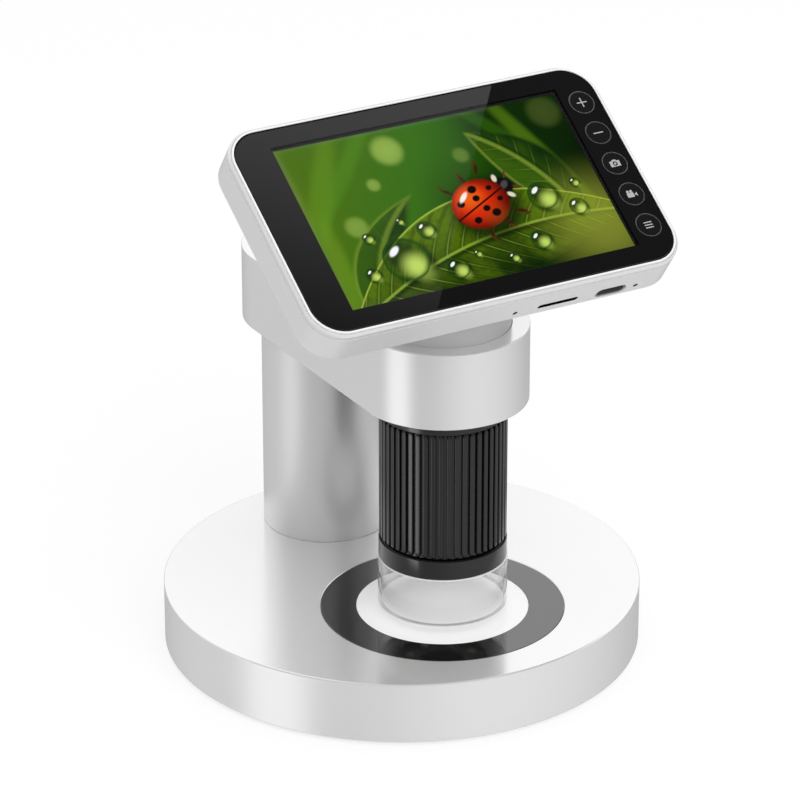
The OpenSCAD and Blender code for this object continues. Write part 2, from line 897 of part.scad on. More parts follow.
// A key: the cap that shows, the flange that stops it and the stem that reaches its switch
module key(i) {
    color("black") on_screen() translate([key_spots[i][0], key_spots[i][1], 0]) {
        post(key_r, mask_n - eps, key_raise);
        post(flange_r, mask_n - key_flange_t, mask_n);
        post(stem_r, switch_n + key_travel + running, mask_n - key_flange_t + eps);
    }
}

module casing_screws() {
    color("silver") on_screen() at_spots(case_posts)
        translate([0, 0, -case_t + case_screw[2] + loose]) screw(case_screw);
}

// These hang from inside the casing down into the neck
module neck_screws() {
    color("silver") on_screen() at_spots(neck_screw_spots)
        translate([0, 0, inner_n]) screw_down(neck_screw);
}

module board_screws() {
    color("silver") on_screen() {
        at_spots(board_screw_spots) translate([0, 0, board_front]) screw_down(board_screw);
        at_spots(key_screw_spots) translate([0, 0, key_board_n]) screw_down(board_screw);
    }
}

base_top_shell();
base_bottom_cover();
base_weight();
base_feet();
base_screws();
stage_ring();
stage_disc();
column_tube();
column_foot_plug();
column_head_plug();
column_tie_rod();
column_washer();
column_nut();
arm_shell();
arm_underside_plate();
arm_screws();
swivel_bush();
neck_housing();
barrel_core();
core_retaining_ring();
sensor_board();
image_sensor();
sensor_cable();
end_ring();
led_board();
leds();
focus_ring();
lens_cell();
front_lens();
rear_lens();
lens_drive_pin();
clear_cap();
rear_casing();
front_frame();
cover_glass();
glass_mask();
lcd_panel();
backlight();
lcd_tray();
main_board();
battery();
usb_c_receptacle();
card_socket();
microphone();
reset_switch();
reset_plunger();
key_board();
key_switches();
key(0);  // key_zoom_in
key(1);  // key_zoom_out
key(2);  // key_photo
key(3);  // key_video
key(4);  // key_menu
casing_screws();
neck_screws();
board_screws();
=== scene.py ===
# %% [markdown]
# # A digital microscope with a tilted screen on a round stand
#
# This notebook dresses a measured model. The solids, their places and their joints are already
# fixed, so every piece made here is built at its real place, in millimetres, and is scaled to
# metres at the very end of its making. The stand is painted metal, the screen is glossy plastic
# and glass, and the barrel is satin black with a clear cap below it.

# %% The fixed frame
import math

import bmesh
import bpy
from mathutils import Matrix, Vector


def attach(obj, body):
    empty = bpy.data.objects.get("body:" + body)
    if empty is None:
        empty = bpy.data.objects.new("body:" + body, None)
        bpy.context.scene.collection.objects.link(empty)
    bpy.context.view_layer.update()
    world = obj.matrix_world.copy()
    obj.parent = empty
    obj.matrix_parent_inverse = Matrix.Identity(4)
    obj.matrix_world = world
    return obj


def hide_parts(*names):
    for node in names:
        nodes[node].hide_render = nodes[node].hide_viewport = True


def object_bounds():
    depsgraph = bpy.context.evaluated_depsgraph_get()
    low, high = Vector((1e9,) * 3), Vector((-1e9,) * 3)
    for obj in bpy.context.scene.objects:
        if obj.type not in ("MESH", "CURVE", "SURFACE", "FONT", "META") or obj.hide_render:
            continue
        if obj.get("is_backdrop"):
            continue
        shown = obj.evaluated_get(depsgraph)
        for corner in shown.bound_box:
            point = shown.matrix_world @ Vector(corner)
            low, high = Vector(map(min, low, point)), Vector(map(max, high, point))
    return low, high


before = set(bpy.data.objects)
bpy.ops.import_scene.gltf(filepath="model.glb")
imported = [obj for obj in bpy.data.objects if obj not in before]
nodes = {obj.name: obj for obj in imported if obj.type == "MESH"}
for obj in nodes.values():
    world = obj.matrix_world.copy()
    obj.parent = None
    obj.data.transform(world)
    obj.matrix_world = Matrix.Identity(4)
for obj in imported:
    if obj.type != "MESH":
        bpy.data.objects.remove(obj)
cad_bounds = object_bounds()
MM = 0.001
BARREL_Y, COLUMN_Y = -22.4, 43.2
SCREEN_Y, SCREEN_Z, SCREEN_TILT = -28.71, 142.3, math.radians(35)
SCREEN_AT = Vector((0, SCREEN_Y, SCREEN_Z))


def add(name, data):
    """A new object in the scene."""
    made = bpy.data.objects.new(name, data)
    bpy.context.scene.collection.objects.link(made)
    return made


# %% [markdown]
# ## The camera
#
# A long lens from a step away keeps upright edges nearly parallel, as in a catalogue picture.
# The camera looks down at the stand from its left front, turned 30 degrees and tilted 24.

# %% Camera
# Level directions towards the camera and to its right
TOWARD_CAMERA, RIGHTWARD = Vector((-0.504, -0.864, 0)), Vector((0.864, -0.504, 0))
camera_data = bpy.data.cameras.new("camera")
camera_data.sensor_width, camera_data.lens = 36, 192.5
camera = add("camera", camera_data)
camera.location = (-0.5442, -0.93107, 0.56165)
camera.rotation_euler = (math.radians(90 - 24.42), 0, math.radians(-30.28))
bpy.context.scene.camera = camera
bpy.context.scene.view_settings.view_transform = "Standard"
print("lens", camera_data.lens, "mm")

# %% [markdown]
# ## Node trees as Python expressions
#
# Materials and Geometry Nodes are both graphs of nodes. Adding each node by hand is long to read,
# so a small class wraps an output socket and gives it the usual operators: `1 - mask * 0.3` adds
# its own Math nodes. Every other node comes from the one method `node`, which takes the node's
# type, its settings, and the values or links of its sockets.

# %% Wires
class Wire:
    """An output socket that takes part in arithmetic."""

    def __init__(self, graph, socket):
        self.graph, self.socket = graph, socket

    def maths(self, operation, *others):
        """A Math node whose first value is this socket."""
        return self.graph.node("ShaderNodeMath", {"operation": operation}, self, *others)

    def __add__(self, other):
        return self.maths("ADD", other)

    def __sub__(self, other):
        return self.maths("SUBTRACT", other)

    def __rsub__(self, other):
        return self.graph.node("ShaderNodeMath", {"operation": "SUBTRACT"}, other, self)

    def __mul__(self, other):
        return self.maths("MULTIPLY", other)

    def __truediv__(self, other):
        return self.maths("DIVIDE", other)

    def __pow__(self, other):
        return self.maths("POWER", other)

    def __abs__(self):
        return self.maths("ABSOLUTE")

    __radd__ = __add__
    __rmul__ = __mul__


# %% Graphs
class Graph:
    """A node tree with one method that adds any node to it."""

    def __init__(self, tree):
        self.tree = tree

    def node(self, kind, settings=None, *values, out=0, **named):
        made = self.tree.nodes.new(kind)
        for key, value in (settings or {}).items():
            if key == "stops":
                ramp = made.color_ramp.elements
                while len(ramp) < len(value):
                    ramp.new(1)
                for stop, (place, tone) in zip(ramp, value):
                    stop.position, stop.color = place, (*tone, 1)
            elif key == "interpolation":
                made.color_ramp.interpolation = value
            else:
                setattr(made, key, value)
        sockets = list(zip(made.inputs, values))
        sockets += [(made.inputs[key.replace("_", " ")], value) for key, value in named.items()]
        for socket, value in sockets:
            if isinstance(value, Wire):
                self.tree.links.new(value.socket, socket)
            elif isinstance(value, list):
                for wire in value:
                    self.tree.links.new(wire.socket, socket)
            elif value is not None:
                short = socket.type == "RGBA" and len(value) == 3
                socket.default_value = (*value, 1) if short else value
        return Wire(self, made.outputs[out]) if made.outputs else None

    def smooth_step(self, value, low, high, start=0, end=1):
        """A soft change from start to end while value goes from low to high."""
        return self.node("ShaderNodeMapRange", {"interpolation_type": "SMOOTHSTEP"},
                         value, low, high, start, end)

    def blend(self, under, over, factor):
        """Lays one colour over another."""
        return self.node("ShaderNodeMix", {"data_type": "RGBA"},
                         factor, None, None, None, None, None, under, over, out=2)


print("graphs ready")

# %% [markdown]
# ## Light
#
# Satin paint and black plastic show what is around them more than what shines on them, so the
# surroundings are designed like a studio's light tent. Seen directly, and through clear plastic,
# they are white. In reflections the ceiling is white at the far side and fades to grey over the
# camera, and below the horizon soft panels stand round the table, the brightest at the left.
# Matt surfaces get an even grey sky and one large soft lamp.

# %% Panels round the table
def grey(level):
    return (level, level, level)


# Angle from the camera's side, and brightness
PANELS = [(-180, 0.46), (-150, 0.50), (-118, 0.62), (-96, 0.56), (-85, 0.64), (-75, 0.98),
          (-62, 1.06), (-51, 0.94), (-41, 0.54), (-30, 0.49), (-18, 0.50), (0, 0.55), (28, 0.72),
          (55, 0.71), (75, 0.66), (100, 0.60), (136, 0.42), (180, 0.46)]

world = bpy.data.worlds.new("tent")
bpy.context.scene.world = world
world.use_nodes = True
world.node_tree.nodes.clear()
tent = Graph(world.node_tree)
toward = tent.node("ShaderNodeTexCoord", out="Generated")
east, north, up = (tent.node("ShaderNodeSeparateXYZ", None, toward, out=axis) for axis in "XYZ")
front = east * TOWARD_CAMERA.x + north * TOWARD_CAMERA.y
right = east * RIGHTWARD.x + north * RIGHTWARD.y
turn = right.maths("ARCTAN2", front) / (2 * math.pi) + 0.5
panels = tent.node("ShaderNodeValToRGB",
                   {"interpolation": "B_SPLINE",
                    "stops": [(angle / 360 + 0.5, grey(level)) for angle, level in PANELS]}, turn)
print(len(PANELS), "panel stops")

# %% The tent's three brightnesses
SKY = 0.83
above_table = tent.blend(grey(0.75), panels, tent.smooth_step(up, -0.75, -0.55))
ceiling = tent.smooth_step(front, -0.55, 0.35, 1.07, 0.34)
mirrored = tent.blend(above_table, ceiling, tent.smooth_step(up, -0.12, 0.12))
ray = {kind: tent.node("ShaderNodeLightPath", out=f"Is {kind} Ray")
       for kind in ("Glossy", "Transmission", "Camera")}
seen = tent.blend(grey(SKY), mirrored, ray["Glossy"])
for kind in ("Transmission", "Camera"):
    seen = tent.blend(seen, grey(1), ray[kind])
tent.node("ShaderNodeOutputWorld", None, tent.node("ShaderNodeBackground", None, seen, 1))
print("sky level for matt surfaces:", SKY)

# %% Soft lamp
def area_light(name, shape, size, watts, place):
    """A lamp that reflections don't show."""
    data = bpy.data.lights.new(name, "AREA")
    data.shape, data.size, data.energy = shape, size, watts
    light = add(name, data)
    light.location, light.visible_glossy = place, False
    print(name, watts, "W")
    return light


lamp = area_light("softbox", "RECTANGLE", 0.7, 5.2, Vector((-0.1, -0.85, 0.95)))
lamp.data.size_y = 0.9
lamp.rotation_euler = (Vector((0, 0, 0.08)) - lamp.location).to_track_quat("-Z", "Y").to_euler()

# %% [markdown]
# The microscope's own ring of lamps is switched on. It lights the white disc through the open
# end of the barrel and the clear cap, so a small disc of light hangs just under the lamps.

# %% Lamp light on the stage
area_light("stage_light", "DISK", 0.021, 0.0013, (0, BARREL_Y * MM, 0.0345)).visible_camera = False

# %% [markdown]
# The table is a plain white sheet. To the camera it is white paper that still takes a faint
# shadow, so most of its brightness is its own and the rest is lit. Reflections look through it
# at the panels.

# %% Table
def quad(name, corners):
    """A flat sheet that belongs to the stage, not to the microscope."""
    mesh = bpy.data.meshes.new(name)
    mesh.from_pydata(corners, [], [(0, 1, 2, 3)])
    made = add(name, mesh)
    made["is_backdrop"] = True
    return made


table = quad("table", [(x, y, -0.0002) for x, y in ((-4, -4), (4, -4), (4, 4), (-4, 4))])
table.visible_glossy = False
print("table", [round(side, 2) for side in table.dimensions], "m")

# %% [markdown]
# ## Finishes
#
# A finish is a material with a few layers: its colour with small unevenness, the grain of its
# surface, and how sharply it mirrors. All patterns are placed by object coordinates, which are
# metres here, so a noise scale of 900 has grains of about a millimetre.

# %% Material graphs
finishes = {}


class Finish(Graph):
    """A material built from nodes."""

    def __init__(self, name):
        self.material = bpy.data.materials.new(name)
        self.material.use_nodes = True
        super().__init__(self.material.node_tree)
        self.tree.nodes.clear()
        self.place = self.node("ShaderNodeTexCoord", out="Object")
        finishes[name] = self.material

    def noise(self, scale, detail=2, rough=0.5, place=None):
        return self.node("ShaderNodeTexNoise", None, Vector=place or self.place, Scale=scale,
                         Detail=detail, Roughness=rough)

    def relief(self, depth, distance):
        return self.node("ShaderNodeBump", None, Strength=1.0, Distance=distance, Height=depth)

    def on_screen(self):
        """Millimetres in the screen's own frame."""
        return self.node("ShaderNodeMapping", {"vector_type": "TEXTURE"}, self.place,
                         tuple(SCREEN_AT * MM), (SCREEN_TILT, 0, 0), (MM, MM, MM))

    def done(self, shader):
        self.node("ShaderNodeOutputMaterial", None, shader)
        return self.material

    def principled(self, **sockets):
        self.done(self.node("ShaderNodeBsdfPrincipled", None, **sockets))


def ink(*levels):
    """A screen colour from 0 to 255 as the linear colour that a renderer uses."""
    return tuple((v / 255 / 12.92) if v < 11 else ((v / 255 + 0.055) / 1.055) ** 2.4
                 for v in (levels if len(levels) == 3 else levels * 3))


# %% The table's own finish
paper = Finish("table_paper")
to_camera = paper.node("ShaderNodeLightPath", out="Is Camera Ray")
mottle = paper.noise(3) * 0.004
sheet_tone = paper.blend(grey(0.62), grey(0.25), to_camera)
lit = paper.node("ShaderNodeBsdfDiffuse", None, sheet_tone)
own = paper.node("ShaderNodeEmission", None, grey(1), to_camera * 0.76 + mottle * to_camera)
table.data.materials.append(paper.done(paper.node("ShaderNodeAddShader", None, lit, own)))
print("table finish ready")

# %% [markdown]
# Three sheets are seen by reflections only. A narrow glowing strip beside the barrel draws one
# line of light down the black pieces that it is linked to. The cover glass is nearly a mirror of
# what is above the screen. As in a studio, a black flag hangs there, so that the glass looks
# black, and a grey card peeps past its edge to draw one slanting sheen.

# %% Sheets for reflections
def reflected(name, corners):
    """A sheet that only reflections see, and its finish."""
    panel, look = quad(name, corners), Finish(name)
    for kind in ("camera", "diffuse", "transmission", "volume_scatter", "shadow"):
        setattr(panel, f"visible_{kind}", False)
    panel.data.materials.append(look.material)
    return panel, look


# %% Glowing strip beside the barrel
def strip(name, turned_by, away, width, level):
    """An upright strip that lets reflections through itself; gives the list of what it lights."""
    toward_it = math.radians(turned_by)
    out = TOWARD_CAMERA * math.cos(toward_it) + RIGHTWARD * math.sin(toward_it)
    side = Vector((out.y, -out.x, 0)) * width / 2
    middle = Vector((0, BARREL_Y * MM, 0)) + out * away
    panel, look = reflected(name, [middle + side * way + Vector((0, 0, z)) for way, z in (
        (-1, -0.3), (1, -0.3), (1, 0.1), (-1, 0.1))])
    look.done(look.node("ShaderNodeAddShader", None, look.node("ShaderNodeBsdfTransparent"),
                        look.node("ShaderNodeEmission", None, grey(1), level)))
    panel.light_linking.receiver_collection = bpy.data.collections.new(name + "_receivers")
    return panel.light_linking.receiver_collection


barrel_gloss = strip("barrel_strip", -53.4, 0.35, 0.12, 2.1)
print("strip for", barrel_gloss.name)

# %% Flag and card over the glass
# The line where they meet, the way out across the card, and a point on the line
EDGE = Vector((0.3813, 0.9152, -0.1304))
OUT = Vector((-0.7902, 0.3959, 0.4679))
EDGE_AT = Vector((0.2252, -0.1086, 0.5838)) + EDGE * 0.045


def card(name, near, far, brightest):
    """A card between two distances from the edge, that fades to black along the edge."""
    look = reflected(name, [EDGE_AT + EDGE * along + OUT * away for along, away in (
        (-0.2, near), (0.2, near), (0.2, far), (-0.2, far))])[1]
    along = look.node("ShaderNodeVectorMath", {"operation": "DOT_PRODUCT"}, look.place,
                      tuple(EDGE), out="Value") - EDGE_AT.dot(EDGE)
    level = look.smooth_step(along, -0.085, 0.045, 0.0, brightest)
    look.done(look.node("ShaderNodeEmission", None, grey(1), level))


card("black_flag", -0.35, 0, 0.02)
card("grey_card", 0, 0.35, 0.56)
print("flag and card", round(EDGE_AT.z, 3), "m above the table")

# %% [markdown]
# ### Paint and plastics
#
# One function makes every moulded or painted surface. The base colour wanders a little, fine
# grain lifts the surface by a few micrometres, and the roughness varies with the grain, which
# keeps a satin surface from looking like plain paper. A polished surface has no grain. Metallic
# paint is partly metallic: its flakes mirror the tent while the binder stays matt.

# %% Painted and moulded surfaces
def moulded(name, tone, rough, grain=1400, lift=1.5e-6, metallic=0.0, wander=0.03, fleck=0.0,
            **constants):
    """A painted or moulded surface; lift is the grain's height, and no grain means polished."""
    look = Finish(name)
    broad = look.noise(35, 2)
    shade = 1 - wander * (1 - broad)
    if grain:
        fine = look.noise(grain, 3, 0.6)
        shade = shade - fleck * look.smooth_step(fine, 0.58, 0.72)
        rough = rough + (fine - 0.5) * 0.05 + (broad - 0.5) * 0.03
        constants["Normal"] = look.relief(fine, lift)
    look.principled(Base_Color=look.blend(tone, grey(0), 1 - shade), Roughness=rough,
                    Metallic=metallic, **constants)


moulded("base_paint", grey(0.94), 0.17, metallic=0.58, wander=0.02)
moulded("arm_paint", grey(0.93), 0.19, metallic=0.75, wander=0.02)
moulded("column_paint", grey(0.87), 0.4, grain=2600, lift=4e-7, metallic=0.75, fleck=0.02)
moulded("casing_plastic", grey(0.83), 0.28, grain=0, metallic=0.2, wander=0.02)
moulded("frame_plastic", grey(0.78), 0.24, grain=0, metallic=0.2, wander=0.02)
# The lip is the same plastic as the frame; its lighter tone is a painted highlight along the
# glass's edge.
moulded("lip_plastic", grey(0.88), 0.2, grain=0, wander=0.01)
moulded("neck_plastic", grey(0.62), 0.45, metallic=0.1, wander=0.02)
print("finishes:", len(finishes))

# %% Other plastics and rubber
moulded("dark_plastic", grey(0.03), 0.4, lift=3e-6)
moulded("ring_black", grey(0.004), 0.16, lift=5e-7, IOR=1.58)
moulded("grip_black", grey(0.004), 0.22, grain=2200, lift=6e-7, IOR=1.58)
moulded("key_black", grey(0.010), 0.12, lift=3e-7)
# A flat black used as painted shade: inside the small openings and in the gap round the cover
# glass.
moulded("gasket_black", grey(0.003), 0.6, lift=2e-6, Specular_IOR_Level=0.2)
moulded("rubber", grey(0.022), 0.7, grain=3000, lift=9e-6, fleck=0.2)
moulded("mask_print", grey(0.020), 0.5, lift=2e-7, Specular_IOR_Level=0.0)
moulded("stage_black", grey(0.004), 0.06, lift=1e-7, IOR=2.3)
# The white disc's faint emission is a painted glow. It lifts the disc where the barrel, arm and
# screen shade it, though the disc is no lamp.
moulded("stage_white", grey(0.98), 0.3, grain=0, wander=0.005, Emission_Color=grey(1),
        Emission_Strength=0.055)
moulded("backlight_white", grey(0.85), 0.5)
print("finishes:", len(finishes))

# %% [markdown]
# ### Metals, boards and foil
#
# Bare metal has fine turning marks, which a noise stretched along one axis imitates. A circuit
# board is green lacquer over copper tracks, and the tracks are a brick texture seen faintly
# through it.

# %% Bare metal
def turned(name, tone, rough, stretch=(1, 1, 14)):
    """Bare metal, whose marks are fine along the axis with the largest stretch, long across it."""
    look = Finish(name)
    along = look.node("ShaderNodeMapping", None, look.place, Scale=stretch)
    marks = look.noise(700, 3, 0.6, along)
    broad = look.noise(60)
    look.principled(Base_Color=look.blend(tone, grey(0.08), (1 - broad) * 0.25), Metallic=1.0,
                    Roughness=rough + marks * 0.12, Normal=look.relief(marks, 2e-6))


turned("steel", ink(205, 206, 208), 0.24)
moulded("connector_steel", ink(150, 152, 154), 0.3, metallic=0.7)
turned("dark_steel", ink(60, 61, 63), 0.35, (10, 1, 1))
turned("contact_gold", ink(226, 190, 112), 0.2, (1, 10, 1))
turned("battery_foil", ink(186, 190, 196), 0.34, (1, 8, 1))
turned("key_outline", ink(158, 160, 162), 0.3, (1, 1, 1))
print("metals ready")

# %% Circuit boards, flat cable, sensor and print
def laminate(name, ground, track):
    """Lacquer over copper tracks."""
    board = Finish(name)
    tracks = board.node("ShaderNodeTexBrick", None, Vector=board.place, Color1=grey(0),
                        Color2=grey(0), Mortar=grey(1), Scale=320.0, Mortar_Size=0.06)
    lacquer = board.blend(ground, track, tracks * 0.7 + board.noise(400) * 0.2)
    board.principled(Base_Color=lacquer, Roughness=0.3 + board.noise(900) * 0.1,
                     Normal=board.relief(tracks, 1.5e-5))


laminate("circuit_board", ink(16, 84, 52), ink(34, 122, 72))
laminate("lamp_board", ink(20, 20, 21), ink(42, 41, 40))
moulded("flex_cable", ink(176, 98, 30), 0.3)
moulded("sensor_glass", ink(22, 26, 44), 0.08, lift=1e-7)
moulded("print_grey", ink(176), 0.4, lift=5e-7)
print("boards ready")

# %% [markdown]
# ### Clear pieces
#
# The lenses are real glass: they bend and mirror without any grain. The cover glass and the
# cap are thin walls, where bending hardly shows, so they are mixed from a layer that lets light
# straight through and one that mirrors. The share of the mirror grows towards the edges, as in
# any clear wall: a high power of how far the surface turns away is a good rule of thumb. The
# cover glass is also printed black round the display, so its straight layer is black there.

# %% Glass
lens_look = Finish("lens_glass")
lens_look.principled(Base_Color=lens_look.blend(ink(236, 244, 255), grey(1),
                                                lens_look.noise(20) * 0.2),
                     IOR=1.52, Roughness=0.0, Transmission_Weight=1.0)


DISPLAY_W, DISPLAY_H = 86.4, 51.2


def over_display(look, margin=0.0, soft=1.6):
    """1 over the lit display and 0 past it, where margin moves the edge outward."""
    flat, inside = look.on_screen(), 1
    for axis, half in (("X", DISPLAY_W / 2), ("Y", DISPLAY_H / 2)):
        away = abs(look.node("ShaderNodeSeparateXYZ", None, flat, out=axis))
        inside = look.smooth_step(away, half + margin, half + margin - soft) * inside
    return inside


def sheet(name, through, rough, least, ripple=0.0, metallic=1.0, window=False):
    """A thin clear wall; least is the share of the mirror when it is seen squarely.

    A window is printed black past its display, whose coating takes off part of the mirror.
    """
    look = Finish(name)
    turned_away = look.node("ShaderNodeLayerWeight", None, 0.5, out="Facing")
    share = turned_away ** 4.0 * (0.9 - least) + least
    mirror = look.node("ShaderNodeBsdfPrincipled", None, Base_Color=grey(0.95), Metallic=metallic,
                       Roughness=rough, Normal=look.relief(look.noise(45, 1), ripple))
    straight = look.node("ShaderNodeBsdfTransparent", None, grey(through))
    if window:
        opening = over_display(look, 0.9, 0.1)
        share = share * (1 - 0.76 * over_display(look)) + (1 - opening) * least
        print_black = look.node("ShaderNodeBsdfDiffuse", None, grey(0.007))
        straight = look.node("ShaderNodeMixShader", None, opening, print_black, straight)
    look.done(look.node("ShaderNodeMixShader", None, share + look.noise(300) * 0.004,
                        straight, mirror))


sheet("window_glass", 0.99, 0.0, 0.042, window=True)
sheet("clear_plastic", 0.94, 0.06, 0.045, 3e-5)
# The rim's finish is nearly opaque white, a painted highlight along the sleeve's top edge.
sheet("clear_rim", 0.95, 0.3, 0.8, metallic=0.0)
# The foot's finish lets less light through: painted shade along the sleeve's lower edge.
sheet("clear_foot", 0.8, 0.1, 0.06)
moulded("led_lens", ink(150, 146, 124), 0.15)
print("clear finishes ready")

# %% [markdown]
# ## Building shapes
#
# Almost every outer piece is either turned on a lathe or is a flat outline with softened edges.
# Both are a stack of rings with the same number of points: a section is walked from point to
# point, each point gives one ring, and neighbouring rings are joined by quads. A section that
# closes on itself gives a tube or a frame. An open one gets a flat cap at each end.

# %% Sections with rounded corners
def soften(corners, steps=6):
    """Turns corners (x, y) or (x, y, radius) into points, with an arc at each radius."""
    points = []
    for i, (x, y, *radius) in enumerate(corners):
        here = Vector((x, y))
        if not radius or not 0 < i < len(corners) - 1:
            points.append((x, y))
            continue
        back = (Vector(corners[i - 1][:2]) - here).normalized()
        on = (Vector(corners[i + 1][:2]) - here).normalized()
        half = back.angle(on) / 2
        middle = here + (back + on).normalized() * radius[0] / math.sin(half)
        start = here + back * radius[0] / math.tan(half) - middle
        end = here + on * radius[0] / math.tan(half) - middle
        for step in range(steps + 1):
            spoke = start.slerp(end, step / steps).normalized()
            points.append(tuple(middle + spoke * radius[0]))
    return points


print(len(soften([(0, 0), (5, 0, 1), (5, 5)])), "points on a softened corner")

# %% Outlines
FACETS = 224


def circle(radius, count=FACETS):
    return [(radius * math.cos(a), radius * math.sin(a))
            for a in (2 * math.pi * i / count for i in range(count))]


def corner_arcs(centres, radius, steps):
    """Joins equal arcs round the given centres, each turning by its share of a full circle."""
    share = 2 * math.pi / len(centres)
    return [(x + radius * math.cos(share * (i + step / steps)),
             y + radius * math.sin(share * (i + step / steps)))
            for i, (x, y) in enumerate(centres) for step in range(steps + 1)]


def rectangle(width, height, corner, steps=18):
    x, y = width / 2 - corner, height / 2 - corner
    return corner_arcs([(x, y), (-x, y), (-x, -y), (x, -y)], corner, steps)


def racetrack(radius, front, back, steps=96):
    """Two round ends, at y = front and y = back, joined by straight sides."""
    return corner_arcs([(0, back), (0, front)], radius, steps)


print(len(circle(1)), len(rectangle(10, 6, 1)), len(racetrack(1, 0, 2)), "points round")

# %% Rings to a mesh
def mesh_object(name, points, faces, place=Matrix()):
    """A new object; points are in millimetres in the frame that place gives."""
    mesh = bpy.data.meshes.new(name)
    mesh.from_pydata([(place @ Vector(point)) * MM for point in points], [], faces)
    build = bmesh.new()
    build.from_mesh(mesh)
    bmesh.ops.recalc_face_normals(build, faces=build.faces)
    build.to_mesh(mesh)
    build.free()
    return add(name, mesh)


def stack(name, rings, place=Matrix(), hollow=False):
    """Joins rings of equal counts; hollow joins the last to the first instead of capping both."""
    count = len(rings[0])
    faces = []
    for i in range(len(rings) if hollow else len(rings) - 1):
        low, high = i * count, (i + 1) % len(rings) * count
        faces += [(low + j, low + (j + 1) % count, high + (j + 1) % count, high + j)
                  for j in range(count)]
    if not hollow:
        faces += [tuple(range(count)), tuple(range((len(rings) - 1) * count, len(rings) * count))]
    return mesh_object(name, [point for ring in rings for point in ring], faces, place)


def kept_mesh(piece):
    """The piece's mesh with its modifiers applied."""
    whole = bpy.context.evaluated_depsgraph_get()
    return bpy.data.meshes.new_from_object(piece.evaluated_get(whole))


# %% Lathe and plate
def lathe(name, section, place=Matrix(), hollow=False, count=FACETS):
    """Turns a section of (radius, height) round the frame's z axis."""
    return stack(name, [[(x, y, height) for x, y in circle(radius, count)]
                        for radius, height in section], place, hollow)


def plate(name, outline, section, place=Matrix(), hollow=False):
    """Walks a section of (inset, height) round an outline that can be drawn with any inset."""
    return stack(name, [[(x, y, height) for x, y in outline(inset)]
                        for inset, height in section], place, hollow)


def moved(x, y, z=0):
    return Matrix.Translation((x, y, z))


BARREL, COLUMN = moved(0, BARREL_Y), moved(0, COLUMN_Y)
SCREEN = moved(*SCREEN_AT) @ Matrix.Rotation(SCREEN_TILT, 4, "X")
print("glass centre", [round(v * MM, 4) for v in SCREEN.translation])

# %% Cutting and joining
def carve(piece, cutters, operation="DIFFERENCE"):
    """Cuts pieces away from another, or joins them to it, and keeps a plain mesh."""
    for cutter in cutters:
        cut = piece.modifiers.new("cut", "BOOLEAN")
        cut.operation, cut.object, cut.solver = operation, cutter, "EXACT"
    piece.data = kept_mesh(piece)
    piece.modifiers.clear()
    for cutter in cutters:
        bpy.data.objects.remove(cutter)


def rod(radius, low, high, place=Matrix(), count=48, flare=0.0):
    """A round cutter; one with a flare leaves a chamfer at the rim of its hole, at high."""
    section = [(radius, low), (radius, high)]
    if flare:
        section = [(radius, low), (radius, high - flare), (radius + flare + 0.5, high + 0.5)]
    return lathe("cutter", section, place, count=count)


def rods(spots, radius, low, high, place=Matrix(), count=48):
    """Equal round cutters at spots (x, y)."""
    return [rod(radius, low, high, place @ moved(*spot), count) for spot in spots]


# %% Finishing a piece
SMOOTH_BELOW = math.radians(32)


def dress(piece, finish, body, node):
    """Smooths a piece, paints it, and hands it to its body in place of a solid."""
    mesh = piece.data
    mesh.name = piece.name
    mesh.materials.clear()
    mesh.materials.append(finishes[finish])
    mesh.shade_smooth()
    mesh.set_sharp_from_angle(angle=SMOOTH_BELOW)
    even = piece.modifiers.new("even shading", "WEIGHTED_NORMAL")
    even.keep_sharp = True
    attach(piece, body)
    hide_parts(node)
    print(piece.name, len(mesh.polygons), "faces on", body)
    return piece


def hoop(name, steps, corners, finish, body, node, place=BARREL, count=FACETS):
    """A dressed piece that is turned from a closed section, round the barrel's axis as a rule."""
    made = lathe(name, soften(corners, steps), place, hollow=True, count=count)
    return dress(made, finish, body, node)


print("shape tools ready")

# %% [markdown]
# ## The base
#
# The base is a moulded drum, open below, with a small radius round its top edge. Its section is
# walked from the inside up and over, so one lathe call makes the skirt, the edge and the top.
# The seat of the stage is then cut into the top, off centre, with a fine chamfer that catches
# light, and bosses for the screws are joined to its underside.

# %% Base shell
BASE_R, BASE_TOP, STAGE_R, DISC_R = 67, 18.5, 33.8, 23.9
ROOM_R, ROOM_TOP, SEAT_Z, PLUG_R, BOSS_CIRCLE = 64.5, 15.9, 17.5, 7.1, 45
BOSSES = [(BOSS_CIRCLE * math.cos(math.radians(a)), BOSS_CIRCLE * math.sin(math.radians(a)))
          for a in (-135, -45, 20, 160)]
base_shell = lathe("base_shell", soften([
    (ROOM_R, ROOM_TOP), (ROOM_R, 0.8), (BASE_R, 0.8, 0.5), (BASE_R, BASE_TOP, 0.55),
    (60, BASE_TOP)], 6), count=360)
carve(base_shell, rods(BOSSES, 5, 9.8, 16) + rods(BOSSES, 3.2, 2.8, 16)
      + [rod(10, 9.8, 16, COLUMN)], "UNION")
carve(base_shell, [rod(STAGE_R + 0.1, SEAT_Z, BASE_TOP, BARREL, FACETS, 0.16),
                   rod(PLUG_R, 9, 30, COLUMN), *rods(BOSSES, 1.55, 2, ROOM_TOP)])
dress(base_shell, "base_paint", "stand", "base_top_shell")

# %% [markdown]
# The stage is a glossy black ring with a white disc inside it, both flush with the top. Real
# inlays never meet without a line, so each has a hairline radius at its upper edge.

